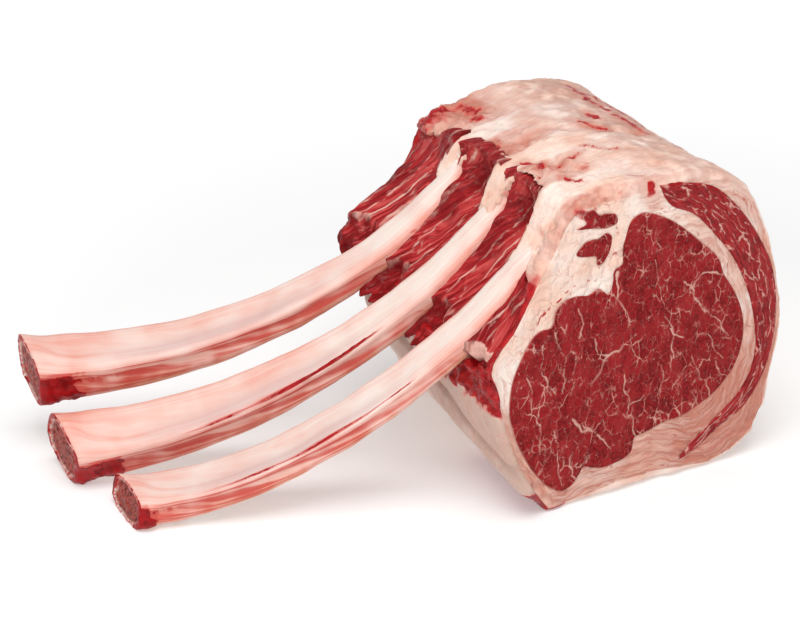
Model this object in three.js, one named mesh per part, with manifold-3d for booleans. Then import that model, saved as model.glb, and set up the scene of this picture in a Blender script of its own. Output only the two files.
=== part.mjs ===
// Raw tomahawk rib roast: a block of rib meat, uncut, with three long bared ribs.
// Millimetres, +Z up. The origin is the middle of the flat underside of the block.
// Y runs along the animal's back, through the block, and the ribs reach towards -X.

import * as THREE from 'three';
import { mergeVertices } from 'three/addons/utils/BufferGeometryUtils.js';
import Module from 'manifold-3d';

const wasm = await Module();
wasm.setup();

// The block: its two cut faces, its flat base, and how far its back lies to the right of its front
const FRONT_FACE = -84;
const BACK_FACE = 84;
const BASE_LEFT = -55;
const BASE_RIGHT = 47;
const SKEW = 14;

// Clear space between neighbours, how far a cut runs past a face, and the limit for sharp corners
const GAP = 0.3;
const OVERRUN = 1;
const MITRE_LIMIT = 0.2;

// The rim of both cut faces is rounded, with little of it left at the sides where lean meat is near
const RIM_RADIUS = 6;
const SIDE_RIM = 0.3;
const SIDE_RIM_X = [10, 60];

// Lumps in the fat, none at the base
const LUMP_HEIGHT = 1.1;
const LUMP_Z = [4, 40];

// Towards the back the left flank draws in, and the top drops at the left and rises at the right
const BACK_CHANGE_Y = [-60, BACK_FACE];
const FLANK_TAPER = 7;
const FLANK_DEPTH_X = [15, 50];
const FLANK_BELOW_Z = [110, 60];
const BACK_DROP = 6;
const BACK_DROP_X = [15, -45];
const BACK_RISE = 2;
const BACK_RISE_X = [15, 50];
const TOP_Z = [110, 160];

// Outline of the cut face from the right end of the base, over the top, to the left end: X, Z
const BLOCK_OUTLINE = [
  [BASE_RIGHT, 0], [66, 8], [77, 20], [83, 44], [87, 71], [82, 106], [69, 139], [53, 156],
  [23, 166], [-5, 167], [-30, 164], [-45, 160], [-58, 137], [-76, 108], [-92, 87], [-87, 74],
  [-83, 55], [-74, 30], [-64, 13], [BASE_LEFT, 0],
];

// The round eye muscle on the cut face, clockwise from its left side: X, Z
const EYE_OUTLINE = [
  [-79, 62], [-72, 85], [-60, 99], [-50, 110], [-30, 115], [-21, 119], [-15, 133], [-10, 147],
  [3, 149], [22, 138], [39, 122], [48, 108], [60, 85], [60, 58], [46, 38], [25, 31], [-3, 26],
  [-22, 16], [-46, 9], [-64, 24], [-76, 49],
];

// The crescent of the cap muscle: its outer and its inner edge, both from the top end down
const CAP_OUTER = [
  [-2, 162], [32, 157], [56, 141], [73, 112], [81, 77], [78, 46], [64, 23], [39, 11], [25, 7],
];
const CAP_INNER = [[2, 154], [24, 145], [45, 125], [65, 91], [69, 61], [60, 34], [39, 16], [27, 10]];

// Two small muscles above the eye. They start beside the front rib and pass clear of the rib bed.
const UPPER_STRIP = [[-42, 147], [-36, 155], [-28, 154], [-20, 152], [-19, 147], [-31, 145]];
const LOWER_STRIP = [[-42, 134], [-37, 140], [-28, 142], [-22, 141], [-22, 134], [-28, 127]];
const STRIP_DRIFT = 6;
const STRIP_SHRINK = 0.6;
const STRIP_DRIFT_LENGTH = 12;

// Slow change of the muscles between the front and the back face
const BACK_SCALE = 0.88;
const BACK_TURN = THREE.MathUtils.degToRad(-3);
const FACE_CENTRE = [-5, 78];

// The ribs: each is a strip bent in an upright plane that slants a little in plan. Its path starts at
// a top and a knee that all ribs share. Depth is the thickness at the tip, and twist is in degrees at
// the top and the tip. The tips are sawn aslant, and the tops are covered by the fat.
const RIB_TOP = [-44, 160];
const RIB_KNEE = [-52, 112];
const SLANT_FROM_X = -60;
const RIB_WIDTH = { top: 20, tip: 34 };
const RIB_THICKNESS = 12;
const RIB_SQUARENESS = 2.8;
const RIB_COVERED = 0.05;
const RIB_LENGTH = 260;
const RIB_SPACING = 50;
const SAW_SKEW = 0.19;
const SAW_UNDERCUT = 0.2;
const SAW_FROM = 0.85;
const RIBS = [
  { name: 'rib_front', y: -61, slant: 0.44, bend: [-165, 8], tip: [-239, 18.5], depth: 18, twist: [8, 0] },
  { name: 'rib_middle', y: -11, slant: 0.4, bend: [-151, 29], tip: [-252, 28], depth: 26, twist: [3, 31] },
  { name: 'rib_back', y: 39, slant: 0.37, bend: [-147, 45], tip: [-252, 59], depth: 28, twist: [5, 17] },
];

// The meat between the ribs lies in a bed this deep below the ribs' upper faces
const BED_DEPTH = 13.5;
const BED_GAP = 0.9;
const BED_CLEARANCE = 40;
const BED_CUT_END = 0.62;
const MEAT_UNDER_RIB = 2;
const NOTCH_REACH = 0.09;

// Strips of meat beside the ribs. From and to are places along the ribs, edges are how far the
// upper surface lies below the ribs at either side, sag is the hollow between, notch the top cut and
// rise how far the outer side swells up towards the lower end.
const RIB_MEAT = [
  {
    name: 'rib_meat_front', after: null, before: 0, from: 0.2, to: 0.4,
    edges: [13, 5], sag: 0, notch: 0, rise: 0,
  },
  {
    name: 'rib_meat_front_gap', after: 0, before: 1, from: 0, to: 0.43,
    edges: [5, 4], sag: 5, notch: 9, rise: 0,
  },
  {
    name: 'rib_meat_back_gap', after: 1, before: 2, from: 0, to: 0.44,
    edges: [5, 4], sag: 5, notch: 9, rise: 0,
  },
  {
    name: 'rib_meat_back', after: 2, before: null, from: 0, to: 0.4,
    edges: [4, 11], sag: 0, notch: 1, rise: 15,
  },
];
const RAGGED_END = 0.012;
const RAGGED_FROM = 0.7;

// Fineness of the solids
const BLOCK_SIDES = 64;
const BASE_STEPS = 5;
const BLOCK_STEPS = 9;
const RIM_PLACES = [0, 0.12, 0.45, 1];
const MUSCLE_SIDES = 44;
const MUSCLE_STEPS = 5;
const STRIP_SIDES = 12;
const RIB_STEPS = 26;
const RIB_SIDES = 16;
const MEAT_GRID = [12, 6];
const CUT_GRID = [9, 2];

const FAT = new THREE.MeshStandardMaterial({ color: 0xf0cdb9, roughness: 0.5, metalness: 0 });
const LEAN = new THREE.MeshStandardMaterial({ color: 0x8e2329, roughness: 0.42, metalness: 0 });
const BONE = new THREE.MeshStandardMaterial({ color: 0xecd6c6, roughness: 0.45, metalness: 0 });

const { lerp, clamp, smoothstep, degToRad } = THREE.MathUtils;

// Rises from 0 to 1 between the two ends of a range, which may run downwards.
function ease(value, [from, to]) {
  const part = clamp((value - from) / (to - from), 0, 1);
  return part * part * (3 - 2 * part);
}

// Turns triangles so that they face out, which a closed mesh does when its volume is positive.
function outward(positions, triangles) {
  const [a, b, c] = [0, 1, 2].map(() => new THREE.Vector3());
  let volume = 0;
  for (const [i, j, k] of triangles) {
    a.fromArray(positions, 3 * i);
    b.fromArray(positions, 3 * j);
    c.fromArray(positions, 3 * k);
    volume += a.dot(b.cross(c));
  }
  return volume < 0 ? triangles.map(([i, j, k]) => [i, k, j]) : triangles;
}

// A closed mesh from a flat list of coordinates and a list of corner triples.
function geometryOf(positions, triangles) {
  const geometry = new THREE.BufferGeometry();
  geometry.setAttribute('position', new THREE.Float32BufferAttribute(positions, 3));
  geometry.setIndex(outward(positions, triangles).flat());
  return geometry;
}

// Solid for cutting, and back again
function asSolid(geometry) {
  const bare = mergeVertices(geometry, 1e-5);
  return new wasm.Manifold(new wasm.Mesh({
    numProp: 3,
    vertProperties: new Float32Array(bare.attributes.position.array),
    triVerts: new Uint32Array(bare.index.array),
  }));
}

function asGeometry(solid) {
  const mesh = solid.getMesh();
  const geometry = new THREE.BufferGeometry();
  geometry.setAttribute('position', new THREE.Float32BufferAttribute(mesh.vertProperties, 3));
  geometry.setIndex(Array.from(mesh.triVerts));
  return geometry;
}

// A closed body through rings of points, with a flat face over each end ring.
// Outline is the same ring in its own plane, from which the end faces are triangulated.
function loft(rings, outline) {
  if (THREE.ShapeUtils.isClockWise(outline)) {
    return loft(rings.map((ring) => ring.toReversed()), outline.toReversed());
  }
  const count = outline.length;
  const last = (rings.length - 1) * count;
  const triangles = [];
  for (let start = 0; start < last; start += count) {
    for (let i = 0; i < count; i += 1) {
      const here = start + i;
      const next = start + (i + 1) % count;
      triangles.push([here, next, here + count], [next, next + count, here + count]);
    }
  }
  for (const [i, j, k] of THREE.ShapeUtils.triangulateShape(outline, [])) {
    triangles.push([i, k, j], [last + i, last + j, last + k]);
  }
  return geometryOf(rings.flat().flatMap((point) => point.toArray()), triangles);
}

// A closed body between two grids of points of the same size: an upper and a lower surface.
function slab(upper, lower) {
  const rows = upper.length;
  const columns = upper[0].length;
  const lowerStart = rows * columns;
  const triangles = [];
  const quad = (a, b, c, d) => triangles.push([a, b, c], [a, c, d]);
  for (let r = 0; r + 1 < rows; r += 1) {
    for (let c = 0; c + 1 < columns; c += 1) {
      const here = r * columns + c;
      const corners = [here, here + 1, here + columns + 1, here + columns];
      quad(...corners);
      quad(...corners.map((corner) => corner + lowerStart).reverse());
    }
  }
  const border = [];
  for (let c = 0; c + 1 < columns; c += 1) border.push(c);
  for (let r = 0; r + 1 < rows; r += 1) border.push(r * columns + columns - 1);
  for (let c = columns - 1; c > 0; c -= 1) border.push((rows - 1) * columns + c);
  for (let r = rows - 1; r > 0; r -= 1) border.push(r * columns);
  border.forEach((here, index) => {
    const next = border[(index + 1) % border.length];
    quad(next, here, here + lowerStart, next + lowerStart);
  });
  return geometryOf([...upper, ...lower].flat().flatMap((point) => point.toArray()), triangles);
}

// Smooth curve through points of the X, Z plane, and places evenly along it
function curveThrough(points, closed) {
  return new THREE.CatmullRomCurve3(points.map(([x, z]) => new THREE.Vector3(x, 0, z)), closed);
}

function sampled(curve, count) {
  return curve.getSpacedPoints(count).map(({ x, z }) => new THREE.Vector2(x, z));
}

// The block runs a little aslant: how far a section at y lies to the right of the front face.
function aslant(y) {
  return (SKEW * (y - FRONT_FACE)) / (BACK_FACE - FRONT_FACE);
}

// Moves each edge of a closed outline square to itself, away from the inside, with mitred corners.
function grown(outline, distance) {
  const side = THREE.ShapeUtils.isClockWise(outline) ? -distance : distance;
  const normal = (from, to) => {
    const along = to.clone().sub(from).normalize();
    return new THREE.Vector2(along.y, -along.x);
  };
  return outline.map((point, i) => {
    const one = normal(outline[(i + outline.length - 1) % outline.length], point);
    const two = normal(point, outline[(i + 1) % outline.length]);
    const mitre = Math.max(1 + one.dot(two), MITRE_LIMIT);
    return point.clone().addScaledVector(one.add(two), side / mitre);
  });
}

// The block's outline at one place along its length: lumps of fat, a left flank that draws in and a
// top that tilts towards the back, and a rounded rim that is small where the cap muscle is near.
function blockSection(outline, y) {
  const toFace = Math.min(y - FRONT_FACE, BACK_FACE - y, RIM_RADIUS);
  const rim = RIM_RADIUS - Math.sqrt(RIM_RADIUS ** 2 - (RIM_RADIUS - toFace) ** 2);
  return outline.map(({ x, y: z }) => {
    const radius = Math.hypot(x - FACE_CENTRE[0], z - FACE_CENTRE[1]);
    const angle = Math.atan2(z - FACE_CENTRE[1], x - FACE_CENTRE[0]);
    const waves = Math.sin(5 * angle + y / 21) + Math.sin(8 * angle - y / 15 + 1);
    const lump = (LUMP_HEIGHT / 2) * waves * ease(z, LUMP_Z);
    const rimShare = lerp(1, SIDE_RIM, ease(Math.abs(x), SIDE_RIM_X));
    const scale = (radius + lump - rim * rimShare) / radius;
    const towardsBack = ease(y, BACK_CHANGE_Y);
    const drawnIn = FLANK_TAPER * towardsBack * ease(-x, FLANK_DEPTH_X) * ease(z, FLANK_BELOW_Z);
    const tilt = BACK_RISE * ease(x, BACK_RISE_X) - BACK_DROP * ease(x, BACK_DROP_X);
    const raised = tilt * towardsBack * ease(z, TOP_Z);
    return new THREE.Vector3(
      FACE_CENTRE[0] + (x - FACE_CENTRE[0]) * scale + drawnIn + aslant(y),
      y,
      FACE_CENTRE[1] + (z - FACE_CENTRE[1]) * scale + raised,
    );
  });
}

// The whole block of meat and fat before anything is cut from it
function block() {
  const round = sampled(curveThrough(BLOCK_OUTLINE, false), BLOCK_SIDES);
  const base = Array.from({ length: BASE_STEPS - 1 }, (_, i) => (
    new THREE.Vector2(lerp(BASE_LEFT, BASE_RIGHT, (i + 1) / BASE_STEPS), 0)
  ));
  const outline = [...round, ...base];
  const rimPlaces = RIM_PLACES.map((part) => part * RIM_RADIUS);
  const inner = Array.from({ length: BLOCK_STEPS }, (_, i) => (
    lerp(FRONT_FACE + RIM_RADIUS, BACK_FACE - RIM_RADIUS, (i + 1) / (BLOCK_STEPS + 1))
  ));
  const places = [
    ...rimPlaces.map((d) => FRONT_FACE + d), ...inner, ...rimPlaces.map((d) => BACK_FACE - d).reverse(),
  ];
  return loft(places.map((y) => blockSection(outline, y)), outline);
}

// A muscle that runs through the block, turning and shrinking slowly on the way. A strip also draws
// together and moves away from the rib bed near the front face. Extra is length past both faces.
function muscle(outline, isStrip, extra) {
  const driftEnd = FRONT_FACE + STRIP_DRIFT_LENGTH;
  const places = Array.from({ length: MUSCLE_STEPS + 1 }, (_, i) => (
    lerp(FRONT_FACE, BACK_FACE, i / MUSCLE_STEPS)
  ));
  if (isStrip) places.splice(1, 0, lerp(FRONT_FACE, driftEnd, 0.5), driftEnd);
  if (extra) {
    places.unshift(FRONT_FACE - extra);
    places.push(BACK_FACE + extra);
  }
  const middle = outline.reduce((sum, point) => sum.add(point), new THREE.Vector2());
  middle.divideScalar(outline.length);
  const rings = places.map((y) => {
    const part = smoothstep(y, FRONT_FACE, BACK_FACE);
    const turn = BACK_TURN * part;
    const scale = lerp(1, BACK_SCALE, part);
    const moved = isStrip ? smoothstep(y, FRONT_FACE, driftEnd) : 0;
    return outline.map((point) => {
      const drawn = point.clone().lerp(middle, moved * (1 - STRIP_SHRINK));
      const dx = (drawn.x + moved * STRIP_DRIFT - FACE_CENTRE[0]) * scale;
      const dz = (drawn.y - FACE_CENTRE[1]) * scale;
      return new THREE.Vector3(
        FACE_CENTRE[0] + dx * Math.cos(turn) - dz * Math.sin(turn) + aslant(y),
        y,
        FACE_CENTRE[1] + dx * Math.sin(turn) + dz * Math.cos(turn),
      );
    });
  });
  return loft(rings, outline);
}

// Place and direction in the ribs' upright plane, X and Z, a part u of the way from top to tip.
function ribPath(rib, u) {
  const shift = aslant(rib.y) - aslant(RIBS[1].y);
  const root = [RIB_TOP, RIB_KNEE].map(([x, z]) => new THREE.Vector2(x + shift, z));
  const ends = [...root, new THREE.Vector2(...rib.bend), new THREE.Vector2(...rib.tip)];
  if (u < 0) {
    const along = ends[1].clone().sub(ends[0]);
    return { point: ends[0].clone().addScaledVector(along, 3 * u), along: along.normalize() };
  }
  const curve = new THREE.CubicBezierCurve(...ends);
  return { point: curve.getPoint(u), along: curve.getTangent(u) };
}

// Middle of a rib across the block where the rib passes x, and its width there
function ribY(rib, x) {
  return rib.y + rib.slant * (SLANT_FROM_X - x);
}

function ribWidth(u) {
  return lerp(RIB_WIDTH.top, RIB_WIDTH.tip, u);
}

// One rib: a rounded strip whose upper face follows the path. It widens and twists towards the tip,
// which is thicker than the shaft. Grow swells the section all round.
function ribGeometry(rib, grow) {
  const across = new THREE.Vector3(rib.slant, 1, 0).normalize();
  const rings = [];
  const flat = [];
  for (let step = 0; step <= RIB_STEPS; step += 1) {
    const u = lerp(RIB_COVERED - grow / RIB_LENGTH, 1 + grow / RIB_LENGTH, step / RIB_STEPS);
    const { point, along } = ribPath(rib, u);
    const centre = new THREE.Vector3(point.x, ribY(rib, point.x), point.y);
    const forward = new THREE.Vector3(along.x, -rib.slant * along.x, along.y).normalize();
    const up = across.clone().cross(forward).normalize();
    up.multiplyScalar(Math.sign(up.z));
    const twist = degToRad(lerp(rib.twist[0], rib.twist[1], u * u));
    const side = across.clone().multiplyScalar(Math.cos(twist)).addScaledVector(up, Math.sin(twist));
    const top = up.clone().multiplyScalar(Math.cos(twist)).addScaledVector(across, -Math.sin(twist));
    const depth = lerp(RIB_THICKNESS, rib.depth, u * u);
    const sawn = smoothstep(u, SAW_FROM, 1);
    const halfWidth = ribWidth(u) / 2 + grow;
    const halfDepth = depth / 2 + grow;
    const ring = [];
    for (let i = 0; i < RIB_SIDES; i += 1) {
      const angle = (2 * Math.PI * i) / RIB_SIDES;
      const a = halfWidth * squared(Math.cos(angle));
      const d = halfDepth * squared(Math.sin(angle));
      const skew = sawn * (SAW_SKEW * a + SAW_UNDERCUT * (d - depth / 2));
      const place = centre.clone().addScaledVector(forward, skew);
      ring.push(place.addScaledVector(side, a).addScaledVector(top, d - depth / 2));
      if (step === 0) flat.push(new THREE.Vector2(a, d));
    }
    rings.push(ring);
  }
  return loft(rings, flat);
}

// Pulls a sine or cosine towards 1 so that a round section becomes nearly square.
function squared(value) {
  return Math.sign(value) * Math.abs(value) ** (2 / RIB_SQUARENESS);
}

// A point of the rib bed: u along the ribs, y across the block and depth below the ribs' upper faces.
function bedPoint(u, y, depth) {
  const front = ribPath(RIBS[0], u);
  const place = clamp((y - ribY(RIBS[0], front.point.x)) / RIB_SPACING, 0, RIBS.length - 1);
  const first = Math.min(Math.floor(place), RIBS.length - 2);
  const [one, two] = [ribPath(RIBS[first], u), ribPath(RIBS[first + 1], u)];
  const point = one.point.clone().lerp(two.point, place - first);
  const along = one.along.clone().lerp(two.along, place - first).normalize();
  return new THREE.Vector3(point.x - along.y * depth, y, point.y + along.x * depth);
}

// Grid over the rib bed between two edges, each a place across the block for a part u of the ribs.
function bedGrid({ from, to }, [left, right], [steps, widthSteps], depthAt, raggedness) {
  const rows = [];
  for (let r = 0; r <= steps; r += 1) {
    const row = [];
    for (let c = 0; c <= widthSteps; c += 1) {
      const v = c / widthSteps;
      const tear = raggedness * (Math.sin(11 * v + to * 50) + Math.sin(23 * v));
      const u = lerp(from, to, r / steps) + tear * smoothstep(r / steps, RAGGED_FROM, 1);
      row.push(bedPoint(u, lerp(left(u), right(u), v), depthAt(u, v)));
    }
    rows.push(row);
  }
  return rows;
}

// One side of a rib, less an inset: side is -1 towards the front and 1 towards the back.
function ribEdge(index, side, inset, u) {
  const rib = RIBS[index];
  return ribY(rib, ribPath(rib, u).point.x) + side * (ribWidth(u) / 2 - inset);
}

// The two sides of a strip of meat: just under the ribs beside it, or a cut face of the block.
// Extra is room added on both sides, and past is how far a side at a cut face goes beyond it.
function meatEdges({ after, before }, extra, past) {
  const inset = MEAT_UNDER_RIB + extra;
  return [
    (u) => (after === null ? FRONT_FACE - past : ribEdge(after, 1, inset, u)),
    (u) => (before === null ? BACK_FACE + past : ribEdge(before, -1, inset, u)),
  ];
}

// A strip of meat beside a rib, torn where the ribs were bared
function ribMeat(strip) {
  const { from, to, edges, sag, notch, rise } = strip;
  const surface = (u, v) => lerp(edges[0], edges[1], v) + 4 * sag * v * (1 - v)
    + notch * (1 - smoothstep(u, from, from + NOTCH_REACH)) - rise * v * smoothstep(u, from, to);
  const sides = meatEdges(strip, 0, 0);
  const upper = bedGrid(strip, sides, MEAT_GRID, surface, RAGGED_END);
  const lower = bedGrid(strip, sides, MEAT_GRID, () => BED_DEPTH - BED_GAP, -RAGGED_END);
  return slab(upper, lower);
}

// The room above the rib bed that is cut from the block for a strip of meat or for a rib.
function bedCut(range, sides) {
  const upper = bedGrid(range, sides, CUT_GRID, () => -BED_CLEARANCE, 0);
  const lower = bedGrid(range, sides, CUT_GRID, () => BED_DEPTH, 0);
  return asSolid(slab(upper, lower));
}

// All cuts for the rib bed. Those for meat that reaches the top also open a notch in the ridge.
function bedCuts() {
  const meat = RIB_MEAT.map((strip) => bedCut(
    { from: strip.from ? strip.from - 2 * GAP / RIB_LENGTH : -RIB_COVERED, to: BED_CUT_END },
    meatEdges(strip, 2 * GAP, BED_CLEARANCE),
  ));
  const ribs = RIBS.map((rib, index) => bedCut(
    { from: RIB_COVERED - 2 * GAP / RIB_LENGTH, to: BED_CUT_END },
    [(u) => ribEdge(index, -1, -GAP, u), (u) => ribEdge(index, 1, -GAP, u)],
  ));
  return [...meat, ...ribs];
}

const eye = sampled(curveThrough(EYE_OUTLINE, true), MUSCLE_SIDES).slice(1);
const cap = [
  ...sampled(curveThrough(CAP_OUTER, false), MUSCLE_SIDES / 2),
  ...sampled(curveThrough(CAP_INNER, false), MUSCLE_SIDES / 2).reverse(),
];
const upperStrip = sampled(curveThrough(UPPER_STRIP, true), STRIP_SIDES).slice(1);
const lowerStrip = sampled(curveThrough(LOWER_STRIP, true), STRIP_SIDES).slice(1);
const muscles = [
  { name: 'eye_muscle', outline: eye, isStrip: false },
  { name: 'cap_muscle', outline: cap, isStrip: false },
  { name: 'upper_strip_muscle', outline: upperStrip, isStrip: true },
  { name: 'lower_strip_muscle', outline: lowerStrip, isStrip: true },
];

const roast = new THREE.Group();

function addNode(name, geometry, material) {
  const mesh = new THREE.Mesh(geometry, material);
  mesh.name = name;
  roast.add(mesh);
}

const ribCuts = RIBS.map((rib) => asSolid(ribGeometry(rib, GAP)));
let fat = asSolid(block());
for (const { outline, isStrip } of muscles) {
  fat = fat.subtract(asSolid(muscle(grown(outline, GAP), isStrip, OVERRUN)));
}
for (const cut of [...bedCuts(), ...ribCuts]) fat = fat.subtract(cut);

addNode('fat_cover', asGeometry(fat), FAT);
for (const { name, outline, isStrip } of muscles) addNode(name, muscle(outline, isStrip, 0), LEAN);
for (const rib of RIBS) addNode(rib.name, ribGeometry(rib, 0), BONE);
for (const strip of RIB_MEAT) {
  let meat = asSolid(ribMeat(strip));
  for (const cut of ribCuts) meat = meat.subtract(cut);
  addNode(strip.name, asGeometry(meat), LEAN);
}

export default roast;
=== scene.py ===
"""Looks of a raw tomahawk rib roast, modelled round its solids.

Sizes are millimetres in the solids' frame: +Z up, Y through the block of meat from its front cut face
to its back one, the ribs reaching towards -X. Meshes are stored in metres.
"""

from __future__ import annotations

import logging
import math
from collections.abc import Callable
from dataclasses import dataclass
from enum import Enum
from functools import partial

import bpy
import numpy as np
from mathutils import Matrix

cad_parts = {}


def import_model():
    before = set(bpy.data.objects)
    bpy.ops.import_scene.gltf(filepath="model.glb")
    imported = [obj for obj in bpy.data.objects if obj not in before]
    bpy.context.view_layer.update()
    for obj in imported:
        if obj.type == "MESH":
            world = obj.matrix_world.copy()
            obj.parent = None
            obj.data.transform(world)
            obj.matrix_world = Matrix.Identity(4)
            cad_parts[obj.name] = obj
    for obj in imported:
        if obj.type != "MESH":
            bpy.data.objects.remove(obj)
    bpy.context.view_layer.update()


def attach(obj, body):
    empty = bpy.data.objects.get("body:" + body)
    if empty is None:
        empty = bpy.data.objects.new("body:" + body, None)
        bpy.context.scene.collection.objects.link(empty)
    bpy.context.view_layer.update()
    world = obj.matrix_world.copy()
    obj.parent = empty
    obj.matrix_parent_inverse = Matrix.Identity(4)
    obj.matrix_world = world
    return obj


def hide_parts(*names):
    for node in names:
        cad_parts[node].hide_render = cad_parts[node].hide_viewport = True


MM = 0.001
BODY = "root"
LOG = logging.getLogger("rib_roast")
Array = np.ndarray
Layers = dict[str, Array]
Line = tuple[tuple[float, ...], ...]
Socket = bpy.types.NodeSocket
Maker = Callable[..., Socket]
Coats = list[tuple[Socket, object]]
Bumps = list[tuple[Socket, object, float]]

# Guard against division by 0
TINY = 1e-9

# Share of a stroke's half width that the stroke covers fully
SOLID_CORE = 0.35

# Setting of a range node that eases in and out
SMOOTH = {"interpolation_type": "SMOOTHSTEP"}

# How moist red flesh bends and scatters light
FLESH = {
    "IOR": 1.4, "Subsurface Weight": 0.05, "Subsurface Radius": (1.0, 0.25, 0.15), "Subsurface Scale": 2 * MM}


class Slot(Enum):
    """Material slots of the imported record."""

    FAT = "fat"
    LEAN = "lean"
    BONE = "bone"
    RIB_MEAT = "rib_meat"


def ease(value: Array | float, start: float, end: float) -> Array:
    """Smooth step: 0 at start, 1 at end and 3t² - 2t³ between. Start may lie above end."""
    part = np.clip((np.asarray(value, float) - start) / (end - start), 0.0, 1.0)
    return part * part * (3.0 - 2.0 * part)


def mix(one: Array | float, two: Array | float, share: Array | float) -> Array:
    """Straight blend from one to two."""
    return one + (two - one) * share


def linear(code: str) -> tuple[float, float, float, float]:
    """Turns an sRGB colour to a linear one.

    Args:
        code: Hex code such as "8e2329".

    Returns:
        Linear red, green and blue from 0 to 1, and alpha 1.
    """
    parts = [int(code[i:i + 2], 16) / 255 for i in (0, 2, 4)]
    red, green, blue = (p / 12.92 if p <= 0.04045 else ((p + 0.055) / 1.055) ** 2.4 for p in parts)
    return red, green, blue, 1.0


def joined(*parts: Array | float) -> Array:
    """Numbers of one shape, or broadcast to one, side by side along a new last axis."""
    return np.stack(np.broadcast_arrays(*parts), axis=-1)


def lifted(flat: Array, third: float) -> Array:
    """Places in a plane with a third number added, to look up noise in space."""
    return joined(flat[..., 0], flat[..., 1], third)


def run_along(line: Array) -> Array:
    """Distance of each point of a polyline from its start."""
    return np.concatenate([[0.0], np.cumsum(np.linalg.norm(np.diff(line, axis=0), axis=1))])


def spaced(line: Array, count: int, weight: Array | None = None) -> Array:
    """Points along a polyline, evenly spaced by length.

    Args:
        line: Points of the polyline, one row each.
        count: Number of points to return, both ends included.
        weight: Share of points that each stretch gets for its length, one for each stretch.

    Returns:
        The points, one row each.
    """
    steps = np.linalg.norm(np.diff(line, axis=0), axis=1)
    reach = np.concatenate([[0.0], np.cumsum(steps if weight is None else steps * weight)])
    places = np.linspace(0.0, reach[-1], count)
    return joined(*(np.interp(places, reach, column) for column in line.T))


def smooth_line(points: Line, closed: bool, fine: int = 24) -> Array:
    """Centripetal Catmull-Rom curve through points: cubic pieces whose slopes weigh the neighbours.

    Args:
        points: Points that the curve passes.
        closed: Whether the curve returns to its first point.
        fine: Steps for each stretch between two points.

    Returns:
        Dense points of the curve. A closed curve ends on its first point.
    """
    knots = np.asarray(points, float)
    if closed:
        padded = np.concatenate([knots[-1:], knots, knots[:2]])
    else:
        padded = np.concatenate([2 * knots[:1] - knots[1:2], knots, 2 * knots[-1:] - knots[-2:-1]])
    p0, p1, p2, p3 = padded[:-3], padded[1:-2], padded[2:-1], padded[3:]
    pairs = ((p0, p1), (p1, p2), (p2, p3))
    d0, d1, d2 = (np.sqrt(np.linalg.norm(b - a, axis=1))[:, None] for a, b in pairs)
    m1 = d1 * ((p1 - p0) / d0 - (p2 - p0) / (d0 + d1) + (p2 - p1) / d1)
    m2 = d1 * ((p2 - p1) / d1 - (p3 - p1) / (d1 + d2) + (p3 - p2) / d2)
    t = np.linspace(0, 1, fine, endpoint=False)[None, :, None]
    a, b, c, d = (p[:, None] for p in (p1, m1, p2, m2))
    curve = (2 * t**3 - 3 * t**2 + 1) * a + (t**3 - 2 * t**2 + t) * b
    curve = curve + (3 * t**2 - 2 * t**3) * c + (t**3 - t**2) * d
    return np.concatenate([curve.reshape(-1, knots.shape[1]), p2[-1:]])


def inside_depth(points: Array, outline: Array) -> Array:
    """Distance from an outline, above 0 inside it and below 0 outside.

    The distance is the least to all the outline's edges, and a point is inside where a ray to the
    right crosses an odd number of edges.

    Args:
        points: Places in the plane, of shape (..., 2).
        outline: Corners in order, the last joined to the first.

    Returns:
        The signed distances, of shape (...).
    """
    flat = points.reshape(-1, 2)
    one, two = outline, np.roll(outline, -1, axis=0)
    nearest = np.full(len(flat), np.inf)
    crossings = np.zeros(len(flat), int)
    for a, b in zip(one, two):
        along = b - a
        part = np.clip((flat - a) @ along / max(along @ along, TINY), 0, 1)
        nearest = np.minimum(nearest, np.hypot(*(flat - a - part[:, None] * along).T))
        spans = (a[1] > flat[:, 1]) != (b[1] > flat[:, 1])
        rise = along[1] if along[1] else TINY
        crossings += spans & (flat[:, 0] < a[0] + along[0] * (flat[:, 1] - a[1]) / rise)
    return np.where(crossings % 2, nearest, -nearest).reshape(points.shape[:-1])


def stroke(points: Array, line: Line, width: float | Array, taper: float = 0.0) -> Array:
    """How strongly a drawn line covers points: 1 on it, fading to 0 over its width to either side.

    Args:
        points: Places, of shape (..., k).
        line: Corners of the line, with k numbers each.
        width: Half width at the line's start.
        taper: Share of the width that is lost towards the line's end.

    Returns:
        Cover from 0 to 1, of shape (...).
    """
    corners = np.asarray(line, float)
    cover = np.zeros(points.shape[:-1])
    for index in range(len(corners) - 1):
        along = corners[index + 1] - corners[index]
        part = np.clip((points - corners[index]) @ along / (along @ along), 0, 1)
        gap = np.linalg.norm(points - corners[index] - part[..., None] * along, axis=-1)
        wide = width * (1 - taper * (index + part) / (len(corners) - 1))
        cover = np.maximum(cover, 1 - ease(gap / np.maximum(wide, TINY), SOLID_CORE, 1))
    return cover


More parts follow.
